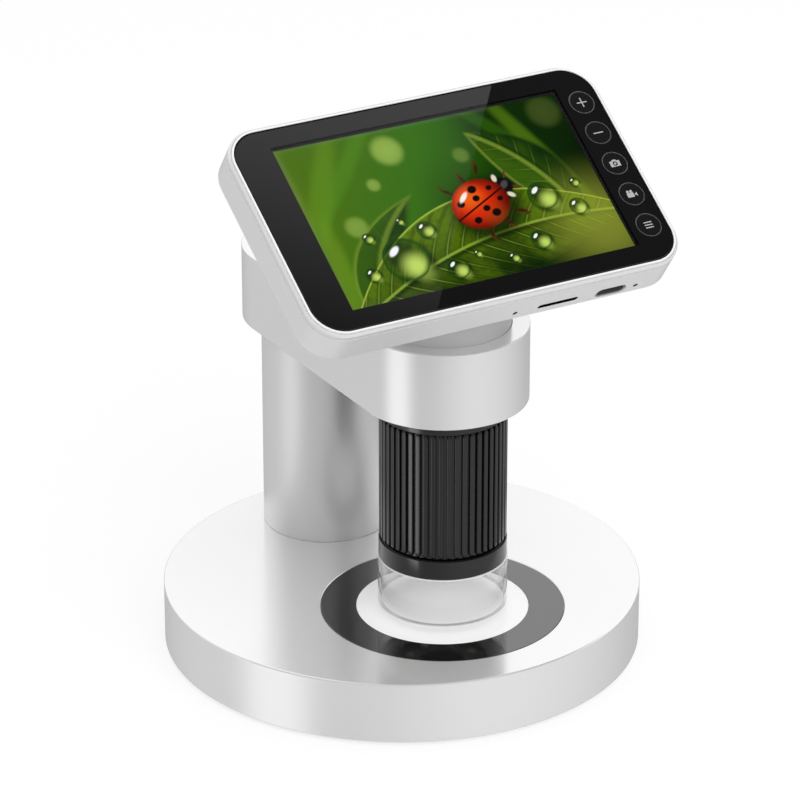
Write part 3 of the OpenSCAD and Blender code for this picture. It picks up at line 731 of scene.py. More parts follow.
# %% Stage
hoop("stage_ring_inlay", 3, [
    (DISC_R + 0.05, SEAT_Z), (STAGE_R, SEAT_Z), (STAGE_R, BASE_TOP, 0.12),
    (DISC_R + 0.05, BASE_TOP, 0.08), (DISC_R + 0.05, 18)], "stage_black", "stand", "stage_ring")
stage_disc = lathe("stage_disc_inlay", soften([
    (DISC_R - 1, SEAT_Z), (DISC_R, SEAT_Z), (DISC_R, BASE_TOP, 0.1),
    (DISC_R - 1, BASE_TOP)], 3), BARREL)
dress(stage_disc, "stage_white", "stand", "stage_disc")

# %% [markdown]
# ## The column
#
# A round drawn tube stands on the base. The small chamfers at its ends leave a fine dark line
# where it meets the base, which tells the eye that these are two pieces.

# %% Column tube
ARM_Z, TUBE_R, TUBE_BORE = 82.2, 18.1, 15.6
hoop("column_sleeve", 3, [
    (TUBE_BORE, 50), (TUBE_BORE, BASE_TOP, 0.2), (TUBE_R, BASE_TOP, 0.35), (TUBE_R, ARM_Z, 0.25),
    (TUBE_BORE, ARM_Z, 0.2), (TUBE_BORE, 60)], "column_paint", "stand", "column_tube",
    place=COLUMN)

# %% [markdown]
# ## The arm
#
# The arm is a hollow block with two round ends. Its racetrack outline is walked by a section
# with a radius above and below. The ring for the viewer is cut through its front end, leaving
# a thin lip at the top, and the room inside is cut from below round a collar and four posts.

# %% Arm shell
ARM_TOP, ARM_R, COVER_TOP, RING_R = 104.3, 23.4, 84.8, 18.5
ARM_POSTS = [(side * 16.5, y) for y in (5.9, 24.2) for side in (-1, 1)]


def arm_outline(inset):
    return racetrack(ARM_R - inset, BARREL_Y, COLUMN_Y)


arm = plate("arm_body", arm_outline, soften([
    (3, ARM_Z), (0, ARM_Z, 0.5), (0, ARM_TOP, 0.35), (3, ARM_TOP)], 5))
room = plate("cutter", arm_outline, [(2.4, ARM_Z - 1), (2.4, ARM_TOP - 2.4)])
carve(room, [rod(22.4, COVER_TOP, 110, BARREL, 96), *rods(ARM_POSTS, 3.2, COVER_TOP, 110)])
carve(arm, [room, rod(20.05, 80, 103.1, BARREL, 128),
            rod(RING_R, 80, ARM_TOP, BARREL, FACETS, 0.12)])
dress(arm, "arm_paint", "stand", "arm_shell")

# %% [markdown]
# A plate closes the arm from below. It is seen whenever the microscope is tipped or looked at
# from table height, so its seam and its four sunk screws are real.

# %% Arm underside plate
cover = plate("arm_cover", lambda inset: racetrack(ARM_R - 2.5 - inset, BARREL_Y, COLUMN_Y),
              soften([(3, ARM_Z), (0, ARM_Z, 0.3), (0, COVER_TOP, 0.1), (3, COVER_TOP)], 3))
carve(cover, [rod(RING_R, 80, 90, BARREL, 128), rod(PLUG_R, 80, 90, COLUMN),
              *rods(ARM_POSTS, 1.45, 80, 90), *rods(ARM_POSTS, 2.7, 80, 83.6)])
dress(cover, "arm_paint", "stand", "arm_underside_plate")

# %% [markdown]
# ## The neck and the barrel
#
# The neck is a tube whose top is cut along the slope of the screen. Instead of cutting it, each
# point of its top ring is lifted to the sloping plane, which keeps the rings' points in line
# and the shading clean.

# %% Neck
CORE_R, NECK_BORE = 14.65, 16.35


def sloped(radius, depth):
    """A ring of points that follows the plane at a depth behind the glass."""
    rise, run = math.sin(SCREEN_TILT), math.cos(SCREEN_TILT)
    return [(x, y, SCREEN_Z + (rise * (y + BARREL_Y - SCREEN_Y) - depth) / run)
            for x, y in circle(radius)]


def level(radius, height):
    return [(x, y, height) for x, y in circle(radius)]


neck = stack("neck_tube", [
    level(CORE_R, ARM_Z), level(17.9, ARM_Z), level(18.05, ARM_Z + 0.15), level(18.05, 103.05),
    level(18.4, 103.15), sloped(18.4, 11), sloped(8, 11), sloped(8, 14), sloped(NECK_BORE, 14),
    level(NECK_BORE, 84.1), level(CORE_R, 84.1)], BARREL, hollow=True)
dress(neck, "neck_plastic", "viewer", "neck_housing")

# %% [markdown]
# The end ring below the focus ring carries the lamps. The clear cap slides over it with a glossy
# black collar. Below the collar the cap is a clear sleeve. Its cut edges carry painted light: a
# nearly white ring at the top is a painted highlight, and a greyer, less clear ring at the foot
# is painted shade.

# %% End ring and collar
hoop("lamp_ring", 4, [
    (12.4, 35), (12.4, 34.7, 0.1), (17.1, 34.7, 0.3), (17.1, 40.2, 0.25), (CORE_R, 40.2, 0.1),
    (CORE_R, 36.2, 0.1), (12.4, 36.2, 0.1), (12.4, 35.2)], "ring_black", "viewer", "end_ring")
collar = hoop("cap_collar", 4, [
    (17.2, 36), (17.2, 34.75, 0.1), (17.75, 34.75, 0.3), (17.75, 40.2, 0.2), (17.2, 40.2, 0.1),
    (17.2, 38)], "ring_black", "clear_cap", "clear_cap")
barrel_gloss.objects.link(collar)

# %% Clear cap
CAP_R = 17.95
# The rim and the foot carry painted light: a highlight at the top edge and shade at the foot.
for name, finish, steps, section in (
        ("clear_sleeve", "clear_plastic", 4,
         [(17.15, 30), (17.15, 21.1), (CAP_R, 21.1), (CAP_R, 34.4, 0.25), (17.15, 34.4, 0.15),
          (17.15, 33.5)]),
        ("cap_rim", "clear_rim", 3,
         [(17.3, 34.5), (17.3, 34.42), (CAP_R, 34.42, 0.1), (CAP_R, 34.74, 0.1), (17.3, 34.74),
          (17.3, 34.6)]),
        ("cap_foot", "clear_foot", 3,
         [(16.9, 20.85), (16.9, 20.7), (CAP_R, 20.7, 0.15), (CAP_R, 21.05), (16.9, 21.05),
          (16.9, 20.95)])):
    wall = hoop(name, steps, section, finish, "clear_cap", "clear_cap")
    wall.visible_shadow = False

# %% [markdown]
# ## Growing what repeats
#
# Ribs, lamps, feet and screws repeat, so each kind is a Geometry Nodes tree with named inputs
# for its sizes. A tree is grown once on an object that only holds points, its copies are made
# real, and the result is kept as a plain mesh.

# %% Geometry trees
class Maker(Graph):
    """A Geometry Nodes tree; each keyword becomes a named input with its usual value."""

    KINDS = {int: "NodeSocketInt", float: "NodeSocketFloat"}

    def __init__(self, name, **sizes):
        super().__init__(bpy.data.node_groups.new(name, "GeometryNodeTree"))
        sockets = self.tree.interface
        sockets.new_socket("Geometry", in_out="INPUT", socket_type="NodeSocketGeometry")
        for label, value in sizes.items():
            socket = sockets.new_socket(label, in_out="INPUT", socket_type=self.KINDS[type(value)])
            socket.default_value = value
        sockets.new_socket("finish", in_out="INPUT", socket_type="NodeSocketMaterial")
        sockets.new_socket("Geometry", in_out="OUTPUT", socket_type="NodeSocketGeometry")
        self.entry = self.tree.nodes.new("NodeGroupInput")

    def __getitem__(self, label):
        return Wire(self, self.entry.outputs[label])

    def vector(self, x=0.0, y=0.0, z=0.0):
        return self.node("ShaderNodeCombineXYZ", None, x, y, z)

    def place(self, geometry, x=0.0, y=0.0, z=0.0, **named):
        return self.node("GeometryNodeTransform", None, geometry, self.vector(x, y, z), **named)

    def drum(self, sides, radius, depth):
        return self.node("GeometryNodeMeshCylinder", None, sides, None, None, radius, depth)

    def join(self, parts):
        return self.node("GeometryNodeJoinGeometry", None, parts)

    def copies(self, points, part, turned_by=None):
        return self.node("GeometryNodeInstanceOnPoints", None, points, None, part, None, None,
                         turned_by)

    def close(self, geometry):
        """Ends the tree: copies become real faces and get their finish."""
        real = self.node("GeometryNodeRealizeInstances", None, geometry)
        painted = self.node("GeometryNodeSetMaterial", None, real, None, self["finish"])
        self.node("NodeGroupOutput", None, painted)
        print(self.tree.name, "tree has", len(self.tree.nodes), "nodes")


# %% Growing a tree
def grow(name, maker, finish, body, node, points=((0, 0, 0),), frame_at=Matrix(), slot_name=None,
         **sizes):
    """Runs a tree on points in millimetres and dresses the plain mesh that it leaves."""
    mesh = bpy.data.meshes.new(name)
    mesh.from_pydata(points, [], [])
    piece = add(name, mesh)
    grower = piece.modifiers.new("grow", "NODES")
    grower.node_group = maker.tree
    sockets = {item.name: item.identifier for item in maker.tree.interface.items_tree
               if item.in_out == "INPUT"}
    for label, value in {**sizes, "finish": finishes[finish]}.items():
        grower[sockets[label]] = value
    piece.data = kept_mesh(piece)
    piece.modifiers.clear()
    piece.data.transform(Matrix.Scale(MM, 4) @ frame_at)
    return dress(piece, finish, body, node)


print("growers ready")

# %% [markdown]
# ### The focus ring
#
# Fifty broad ribs give the fingers their grip. One rib is a rectangle with rounded corners drawn
# along a straight line. The rectangle shrinks over the last 0.6 mm at each end, so every rib has
# rounded ends, and the line's points are drawn together there to make the rounding smooth. A
# circle of points carries the copies, each turned to face outward. The ribs stand on a smooth
# tube that ends in a plain band under the arm.

# %% Rib tree
ribs = Maker("ribs", count=50, radius=16.7, depth=0.9, width=1.45, length=36.9, corner=0.3)
ROUNDED_END, SUNK = 0.6, 0.4
bar = ribs.node("GeometryNodeCurvePrimitiveQuadrilateral", None, ribs["depth"] + SUNK,
                ribs["width"])
bar = ribs.node("GeometryNodeFilletCurve", {"mode": "POLY"}, bar, 4, ribs["corner"])
rail = ribs.node("GeometryNodeCurvePrimitiveLine", None, None, ribs.vector(z=ribs["length"]))
rail = ribs.node("GeometryNodeResampleCurve", None, rail, Count=25)
share = ribs.node("GeometryNodeSplineParameter", out="Factor")
lift = ribs.smooth_step(share, 0, 1, 0, ribs["length"])
rail = ribs.node("GeometryNodeSetPosition", None, rail, None, ribs.vector(z=lift))
height = ribs.node("ShaderNodeSeparateXYZ", None, ribs.node("GeometryNodeInputPosition"), out="Z")
to_end = height.maths("MINIMUM", ribs["length"] - height)
rib = ribs.node("GeometryNodeCurveToMesh", None, rail, bar,
                ribs.smooth_step(to_end, 0, ROUNDED_END, 0.5, 1), True)
rib = ribs.place(rib, x=(ribs["depth"] - SUNK) / 2)
ring = ribs.node("GeometryNodeMeshCircle", None, ribs["count"], ribs["radius"])
outward = ribs.node("FunctionNodeAlignRotationToVector", {"axis": "X", "pivot_axis": "Z"},
                    Vector=ribs.node("GeometryNodeInputPosition"))
ribs.close(ribs.copies(ring, rib, outward))

# %% Focus ring
RIBS_FOOT = 40.9
focus_ribs = grow("focus_ribs", ribs, "grip_black", "focus_ring", "focus_ring",
                  frame_at=moved(0, BARREL_Y, RIBS_FOOT))
focus_tube = hoop("focus_tube", 4, [
    (CORE_R, 60), (CORE_R, 40.5, 0.2), (16.7, 40.5, 0.2), (16.7, 77.5, 0.5),
    (17.6, 78.1, 0.3), (17.6, 81.9, 0.3), (CORE_R, 81.9, 0.2), (CORE_R, 65)],
    "grip_black", "focus_ring", "focus_ring")
for grip in (focus_ribs, focus_tube):
    barrel_gloss.objects.link(grip)
    print(grip.name, "in mm:", [round(side / MM, 2) for side in grip.dimensions])

# %% [markdown]
# ### Lamps and feet
#
# Both are small round things set on a circle, so one helper spreads any part round a circle of
# points inside its tree. A lamp is a short clear drum with a flat dome, and a foot is a rubber
# disc whose lower edge is chamfered.

# %% Ring of copies
def spread(maker, *parts):
    """Joins the parts and sets copies of them round a circle."""
    points = maker.node("GeometryNodeMeshCircle", None, maker["count"], maker["radius"])
    maker.close(maker.copies(points, maker.join(list(parts))))


# %% Lamps
lamps = Maker("lamps", count=8, radius=9.6, size=1.3)
dome = lamps.node("GeometryNodeMeshUVSphere", None, 24, 12, lamps["size"] * 0.9)
spread(lamps, lamps.place(lamps.drum(24, lamps["size"], 0.6), z=35.9),
       lamps.place(dome, z=35.66, Scale=(1, 1, 0.48)))
grow("lamp_domes", lamps, "led_lens", "viewer", "leds", frame_at=BARREL)

# %% Feet
feet = Maker("feet", count=4, radius=54.0, size=6.0)
bevel = feet.node("GeometryNodeMeshCone", None, 64, None, None, feet["size"], feet["size"] - 0.3,
                  0.2)
spread(feet, feet.place(feet.drum(64, feet["size"], 0.65), z=0.475), feet.place(bevel))
grow("rubber_feet", feet, "rubber", "stand", "base_feet")

# %% [markdown]
# ### Screws
#
# A screw is a head and a shank, with a cross cut into the head. The cross is taken away by a
# Mesh Boolean inside the tree, and every screw is turned by its own random angle, because no
# assembler stops all of them in line.

# %% Screw tree
screws = Maker("screws", head=2.8, head_height=1.2, shank=1.5, length=8.0, slot=0.55)
head = screws.place(screws.drum(48, screws["head"], screws["head_height"]),
                    z=screws["head_height"] * -0.5)
shank = screws.place(screws.drum(32, screws["shank"], screws["length"]),
                     z=screws["length"] * 0.5)
arm_of_cross = screws["head"] * 1.15
blades = [screws.place(screws.node("GeometryNodeMeshCube", None, screws.vector(*sides)),
                       z=screws["head_height"] * -1.0)
          for sides in ((arm_of_cross, screws["slot"], screws["head_height"]),
                        (screws["slot"], arm_of_cross, screws["head_height"]))]
cut_head = screws.node("GeometryNodeMeshBoolean", {"operation": "DIFFERENCE", "solver": "EXACT"},
                       head, blades)
angle = screws.node("FunctionNodeRandomValue", None, None, None, 0.0, 3.14, Seed=7, out=1)
screws.close(screws.copies(screws["Geometry"], screws.join([cut_head, shank]),
                           screws.vector(z=angle)))

# %% Screws in the base, the arm and the back of the screen
CASE_POSTS = [(x * 50.6, y * 28.4) for x in (-1, 1) for y in (-1, 1)]
grow("base_fixings", screws, "steel", "stand", "base_screws", [(x, y, 2.1) for x, y in BOSSES],
     head=2.8, head_height=1.2, shank=1.5, length=8.0)
grow("arm_fixings", screws, "steel", "stand", "arm_screws", [(x, y, 83.6) for x, y in ARM_POSTS],
     head=2.5, head_height=1.3, shank=1.25, length=9.0)
grow("casing_fixings", screws, "steel", "viewer", "casing_screws",
     [(x, y, -9.5) for x, y in CASE_POSTS], SCREEN, head=2.0, head_height=1.4, shank=1.0,
     length=6.5, slot=0.45)

# %% [markdown]
# ## The screen's casing
#
# The casing is two shells that meet two millimetres behind the glass. Both are plates in the
# screen's own frame: x along the long side, y up the slope and z out of the glass. Tiny
# chamfers at the parting line leave the fine groove that two moulded shells always show. The
# front one slopes in to a second groove, with a narrow lip between it and the glass. The lip
# is painted lighter than the frame, as a painted highlight along the glass's edge.

# %% Rear shell
CASE_W, CASE_H, CASE_CORNER = 113.8, 67.4, 10.2
BOARD_POSTS = [(-8, 23.5), (40.5, 23.5), (-8, -27.4), (41.5, -22)]
KEY_X, KEY_V = 49.7, [20.56, 10.13, -0.3, -10.73, -21.16]
KEY_POSTS = [(KEY_X, 15.345), (KEY_X, -15.945)]
NECK_HOLES = [(side * 11, y) for side in (-1, 1) for y in (-11, 6)]


def rounded(width, height, corner, steps=18):
    """A rectangle's outline that can be drawn with any inset."""
    return lambda inset: rectangle(width - 2 * inset, height - 2 * inset, corner - inset, steps)


case_outline = rounded(CASE_W, CASE_H, CASE_CORNER)
rear = plate("rear_shell", case_outline, soften([
    (1.6, -10), (1.6, -2), (0.16, -2), (0, -2.18), (0, -11, 0.5), (3, -11)], 6), SCREEN)
carve(rear, rods(CASE_POSTS, 3, -10.5, -5, SCREEN) + rods(BOARD_POSTS, 2.2, -10.5, -6.8, SCREEN)
      + rods(KEY_POSTS, 2.2, -10.5, -5.9, SCREEN), "UNION")
print("rear shell", len(rear.data.polygons), "faces")

# %% [markdown]
# The ports are cut from outside, through the lower wall. Each cutter widens where it leaves the
# wall, so every opening gets a small chamfer that catches a thin line of light.

# %% Ports
def mouth(x, depth, way=1):
    """The frame of an opening in the lower wall, with z pointing out of it, or in for way -1."""
    turn = Matrix.Rotation(way * math.pi / 2, 4, "X")
    return SCREEN @ moved(x, -CASE_H / 2, depth) @ turn


def slot_cutter(x, depth, width, height, corner, flare):
    return plate("cutter", rounded(width, height, corner),
                 [(0, -2.5), (0, -flare), (-flare - 0.4, 0.4)], mouth(x, depth))


USB_X, CARD_X, RESET_X, MIC_X = 34.45, 17.7, 4.5, 42.3
USB_Z, CARD_Z, PINHOLE_Z = -8.38, -8.0, -8.3
carve(rear, [slot_cutter(USB_X, USB_Z, 9.44, 3.66, 1.82, 0.18),
             slot_cutter(CARD_X, CARD_Z, 12.4, 1.7, 0.8, 0.2),
             *(rod(0.73, -2.5, 0, mouth(x, PINHOLE_Z), 32, 0.12) for x in (RESET_X, MIC_X)),
             *rods(CASE_POSTS, 1.2, -12, -4, SCREEN), *rods(CASE_POSTS, 2.1, -12, -9.5, SCREEN),
             *rods(NECK_HOLES, 1.4, -12, -9, SCREEN, 24),
             *rods(BOARD_POSTS + KEY_POSTS, 0.95, -9.9, -4, SCREEN, 24),
             rod(8, -12, -9, SCREEN, 96)])
dress(rear, "casing_plastic", "viewer", "rear_casing")

# %% Painted shade inside the small openings
def pinhole_outline(inset):
    return circle(0.72 - inset, 32)


# Thin black sleeves inside the pinholes and the card slot paint the shade in these recesses.
for name, x, outline, depth in (
        ("reset_hole_shade", RESET_X, pinhole_outline, PINHOLE_Z),
        ("microphone_hole_shade", MIC_X, pinhole_outline, PINHOLE_Z),
        ("card_slot_shade", CARD_X, rounded(12.38, 1.68, 0.78), CARD_Z)):
    hole_shade = plate(name, outline, [(0, -1.5), (0, -0.25), (0.06, -0.25), (0.06, -1.5)],
                   mouth(x, depth), hollow=True)
    dress(hole_shade, "gasket_black", "viewer", "rear_casing")

# %% Front frame
front_shell = plate("front_shell", case_outline, soften([
    (2.9, -1.8), (2.9, -2), (0.16, -2), (0, -1.82), (0, -0.85, 0.2), (0.66, -0.05, 0.14),
    (0.68, -0.5), (1.42, -0.5), (1.42, -1.1), (2.9, -1.1, 0.1), (2.9, -1.5)], 6), SCREEN,
    hollow=True)
carve(front_shell, rods(CASE_POSTS, 2, -5, -1.15, SCREEN), "UNION")
carve(front_shell, rods(CASE_POSTS, 1.05, -6, -2.3, SCREEN))
dress(front_shell, "frame_plastic", "viewer", "front_frame")
# The lip is one moulding with the front shell; its lighter finish is a painted highlight.
lip = plate("window_lip", case_outline, soften([
    (1.2, -0.5), (0.86, -0.5), (0.86, 0.2, 0.16), (1.42, 0.2, 0.1), (1.42, -0.5), (1.3, -0.5)], 5),
    SCREEN, hollow=True)
dress(lip, "lip_plastic", "viewer", "front_frame")

# %% [markdown]
# The cover glass is one pane with five round holes for the keys. A thin black band round it
# paints the shaded gap between the glass and the lip as a dark line.

# %% Cover glass and its painted dark edge
KEY_SPOTS = [SCREEN @ moved(KEY_X, v) for v in KEY_V]
pane = plate("cover_pane", lambda inset: case_outline(inset + 1.82),
             [(3, -0.96), (0.05, -0.96), (0, -0.91), (0, -0.1), (0.1, 0), (3, 0)], SCREEN)
carve(pane, [rod(3.9, -4, 3, spot, 96) for spot in KEY_SPOTS])
dress(pane, "window_glass", "viewer", "cover_glass")
# A thin black band round the glass: painted shade in the gap between the glass and the lip.
edge_shade = plate("window_edge_shade", case_outline, soften([
    (1.8, -0.9), (1.8, -1), (1.44, -1), (1.44, -0.02, 0.08), (1.8, -0.06, 0.05), (1.8, -0.5)], 3),
    SCREEN, hollow=True)
dress(edge_shade, "gasket_black", "viewer", "cover_glass")

# %% [markdown]
# ### The charging socket
#
# A charging socket is a drawn steel shell with rounded ends and a thin tongue that carries
# gold contacts on both faces. The shell and its back are one plate, and the contacts are a
# short tree: a row of points with a small pad at each.

# %% Socket shell and tongue
USB = mouth(USB_X, USB_Z, -1)
socket = plate("socket_shell", rounded(8.94, 3.16, 1.575, 12), soften([
    (0.3, 6.3), (0.3, 0.3, 0.1), (0, 0.3, 0.12), (0, 7.3, 0.3), (0.6, 7.3)], 3), USB)
dress(socket, "connector_steel", "viewer", "usb_c_receptacle")
tongue = plate("socket_tongue", lambda inset: rectangle(6.6 - 2 * inset, 0.7 - 2 * inset,
                                                        0.25 - inset * 0.5, 4),
               [(0.12, 1.2), (0, 1.4), (0, 6.35)], USB)
dress(tongue, "key_black", "viewer", "usb_c_receptacle")

# %% Socket contacts
contacts = Maker("contacts", count=12, pitch=0.5, width=0.26, length=3.4)
row = contacts.node("GeometryNodeMeshLine", None, contacts["count"], None, None,
                    contacts.vector(x=contacts["pitch"]))
touch = contacts.node("GeometryNodeMeshCube", None,
                      contacts.vector(contacts["width"], 0.76, contacts["length"]))
contacts.close(contacts.place(contacts.copies(row, touch), x=contacts["pitch"] * -5.5, z=3.4))
grow("socket_contacts", contacts, "contact_gold", "viewer", "usb_c_receptacle", frame_at=USB,
     slot_name="connector_steel")

# %% [markdown]
# ## Keys
#
# The five keys are round glossy caps that pass through the glass. Each has a fine metal outline
# and a small raised pictogram. A pictogram is a flat filled curve with a little thickness,
# where an outline inside another one makes a hole.

# %% Pictogram outlines
def bar(x, y, width, height, round_off=0.12):
    return [(x + a, y + b) for a, b in rectangle(width, height, round_off, 4)]


def disc(x, y, radius):
    return [(x + a, y + b) for a, b in circle(radius, 32)]


PLUS = [[(x * 0.17 + (1.55 * sx), y * 0.17 + (1.55 * sy)) for x, y, sx, sy in (
    (0, 1, 1, 0), (1, 1, 0, 0), (1, 0, 0, 1), (-1, 0, 0, 1), (-1, 1, 0, 0), (0, 1, -1, 0),
    (0, -1, -1, 0), (-1, -1, 0, 0), (-1, 0, 0, -1), (1, 0, 0, -1), (1, -1, 0, 0), (0, -1, 1, 0))]]
MINUS = [bar(0, 0, 3.1, 0.34)]
STILL = [[(-1.55, -1.1), (1.55, -1.1), (1.55, 0.75), (0.75, 0.75), (0.5, 1.15), (-0.5, 1.15),
          (-0.75, 0.75), (-1.55, 0.75)], disc(0, -0.15, 0.72), disc(0, -0.15, 0.36)]
MOVIE = [bar(-0.45, -0.3, 2.1, 1.5, 0.2), disc(-0.95, 0.85, 0.42), disc(0.05, 0.85, 0.42),
         [(0.75, -0.25), (1.6, 0.3), (1.6, -0.95)]]
MENU = [bar(0, y, 2.5, 0.32) for y in (0.85, 0, -0.85)]
print("pictograms ready")

# %% Pictogram meshes
def emblem(name, outlines, place, low, high):
    """Fills flat outlines, gives them thickness and keeps a plain mesh at its place."""
    curve = bpy.data.curves.new(name, "CURVE")
    curve.dimensions, curve.fill_mode, curve.extrude = "2D", "BOTH", (high - low) / 2
    for outline in outlines:
        spline = curve.splines.new("POLY")
        spline.points.add(len(outline) - 1)
        spline.use_cyclic_u = True
        for point, (x, y) in zip(spline.points, outline):
            point.co = (x, y, 0, 1)
    drawn = add(name, curve)
    mesh = kept_mesh(drawn)
    bpy.data.objects.remove(drawn)
    mesh.transform(Matrix.Scale(MM, 4) @ place @ moved(0, 0, (low + high) / 2))
    return add(name, mesh)


# %% Keys
for key, outlines, spot in zip(("zoom_in", "zoom_out", "photo", "video", "menu"),
                               (PLUS, MINUS, STILL, MOVIE, MENU), KEY_SPOTS):
    node = body = f"key_{key}"
    dress(lathe(f"{key}_cap", soften([
        (1.5, -3.2), (1.5, -1.8), (4.15, -1.8), (4.15, -1.1), (3.8, -1.1), (3.8, 0.15, 0.07),
        (3, 0.15)], 4), spot, count=96), "key_black", body, node)
    hoop(f"{key}_outline", 3, [
        (3.47, 0.05), (3.72, 0.05), (3.72, 0.19, 0.05), (3.47, 0.19, 0.05), (3.47, 0.1)],
        "key_outline", body, node, spot, 96)
    sign = emblem(f"{key}_sign", outlines, spot, 0.1, 0.18)
    dress(sign, "print_grey", body, node)

# %% [markdown]
# ## The picture on the screen
#
# The display shows a macro view: a ladybird on a dewy leaf before soft green light. It is drawn
# with shader maths, so it stays sharp at any size. The coordinates are millimetres on the
# display, laid flat by a Mapping node, and each motif is a soft mask that lays its colour over
# what is behind it, from the back to the front.

# %% Picture tools
picture = Finish("display")
# Short names for what every motif uses
lay, ease, flat = picture.blend, picture.smooth_step, picture.on_screen()


def split(vector):
    return [picture.node("ShaderNodeSeparateXYZ", None, vector, out=axis) for axis in "XY"]


def turned_to(x, y, degrees, size=(1, 1), within=None):
    """The picture's coordinates moved to (x, y), turned, and measured in the given sizes."""
    return picture.node("ShaderNodeMapping", {"vector_type": "TEXTURE"}, within or flat,
                        (x, y, 0), (0, 0, math.radians(degrees)), (*size, 1 if within else 1000))


def round_mask(x, y, radius, soft, where=None):
    """1 inside a circle and 0 outside, with an edge that is soft over a share of its radius."""
    # The display is as good as flat, so depth adds less than a hundredth of a millimetre
    gap = picture.node("ShaderNodeVectorMath", {"operation": "DISTANCE"}, where or flat,
                       (x, y, 0), out="Value")
    return ease(gap, radius * (1 + soft), radius * (1 - soft))


def dab(under, tone, x, y, radius, soft, where=None, share=None):
    """Lays a soft round patch of a colour over another."""
    mask = round_mask(x, y, radius, soft, where)
    return lay(under, tone, mask if share is None else mask * share)


across, upward = split(flat)
print("picture coordinates ready")

# %% Background light
wash = 0.45 - across * 0.0078 + upward * 0.002 + (picture.noise(30, 1) - 0.5) * 0.5
backdrop = picture.node("ShaderNodeValToRGB", {"stops": [
    (0.0, ink(3, 18, 1)), (0.3, ink(12, 48, 1)), (0.55, ink(50, 108, 6)),
    (0.8, ink(74, 112, 6)), (1.0, ink(136, 160, 30))]}, wash)
for x, y, degrees, length, width, tone, share in (
        (31, 9, 112, 25, 2.4, ink(112, 160, 26), 0.35),
        (21, 19, 130, 19, 2.0, ink(66, 124, 14), 0.3),
        (-37, 8, 62, 24, 3.2, ink(112, 160, 30), 0.35),
        (-26, 16, 48, 20, 2.2, ink(86, 146, 24), 0.35),
        (-41, -16, 84, 16, 2.6, ink(130, 172, 40), 0.3)):
    stalk = turned_to(x, y, degrees, (length, width))
    backdrop = dab(backdrop, tone, 0, 0, 1, 0.5, stalk, share)
print("background ready")

# %% Discs of light out of focus
for x, y, radius, share in ((-12, 19, 4.6, 0.5), (-31, -2, 3.4, 0.34), (27, 4, 4.0, 0.26),
                            (38, 21, 5.0, 0.08), (-20.5, 9.5, 2.2, 0.4), (8, 13, 2.6, 0.2)):
    haze = round_mask(x, y, radius, 0.28) * 0.75 + round_mask(x, y, radius * 0.6, 0.9) * 0.25
    backdrop = lay(backdrop, ink(190, 220, 104), haze * share)
print("discs ready")

# %% Leaf blade
def leaf(under, x, y, degrees, length, width, dark, light, bend, blur=0.0):
    """A pointed blade with a rib and side veins, lying along its own x axis."""
    vein, clear = ink(142, 172, 58), 1 - blur
    along, side = split(turned_to(x, y, degrees))
    side = side + along * along * bend
    edge = width - along * along * (width / length ** 2)
    reach = abs(side)
    tone = lay(dark, light, ease(side, -width, width * 0.9))
    tone = lay(tone, light, ease(picture.noise(90), 0.45, 0.7) * 0.5)
    tone = lay(tone, dark, ease(picture.noise(700), 0.4, 0.75) * 0.3 * clear)
    slanted = along - reach * 0.8 - reach * reach * 0.03
    between = slanted.maths("PINGPONG", 2.7)
    tone = lay(tone, dark, ease(between, 1.5, 0.25) * 0.5 * clear)
    fading = ease(reach, width * 0.8, width * 0.2, 0.08, 0.5)
    tone = lay(tone, vein, ease(between, 0.5, 0.0) * fading * clear)
    rib_shade = ease(side + 1.2, 1.1, 0.4) * ease(side + 1.2, -1.2, 0.2)
    tone = lay(tone, dark, rib_shade * 0.7)
    tone = lay(tone, vein, ease(reach, 0.6 + blur, 0.15) * (0.8 - blur / 2))
    lit_edge = ease(edge - reach, 0.9, 0.1) * ease(side, -4, 4)
    tone = lay(tone, ink(196, 222, 86), lit_edge * (0.6 - blur / 3))
    dark_edge = ease(edge - reach, 2.4, 0.3) * ease(side, 2, -5)
    tone = lay(tone, dark, dark_edge * 0.6)
    return lay(under, tone, ease(edge - reach, -0.1 - blur * 1.2, 0.2 + blur * 1.4))


# %% Leaves
scene_tone = leaf(backdrop, -31, -17, 66, 27, 7, ink(8, 44, 4), ink(52, 92, 8), 0.012, 0.8)
scene_tone = leaf(scene_tone, 27, 4, 122, 21, 8, ink(6, 38, 4), ink(58, 96, 10), -0.01, 0.6)
scene_tone = leaf(scene_tone, 0, -14, 11, 49, 14, ink(8, 34, 1), ink(90, 122, 8), 0.004)
scene_tone = dab(scene_tone, ink(176, 186, 66), 38, -17, 13, 0.9, share=0.45)
print("leaves ready")

# %% Ladybird's legs
def limb(under, body, along, side, turn, length, width, tone):
    """One short stroke, measured in the beetle's size."""
    where = turned_to(along, side, turn, (length, width), body)
    return dab(under, tone, 0, 0, 1, 0.35, where)


def legs(under, body):
    """Six bent legs and two feelers."""
    for flip in (-1, 1):
        for along, turn in ((-0.55, 118), (0.2, 84), (0.85, 46)):
            under = limb(under, body, along, flip * 0.93, flip * turn, 0.2, 0.06, ink(58, 26, 8))
            under = limb(under, body, along + 0.12 * math.cos(math.radians(turn)), flip * 1.12,
                         flip * (turn - 34), 0.13, 0.04, ink(84, 44, 16))
        under = limb(under, body, 1.42, flip * 0.26, flip * 40, 0.17, 0.035, ink(96, 56, 24))
    return under


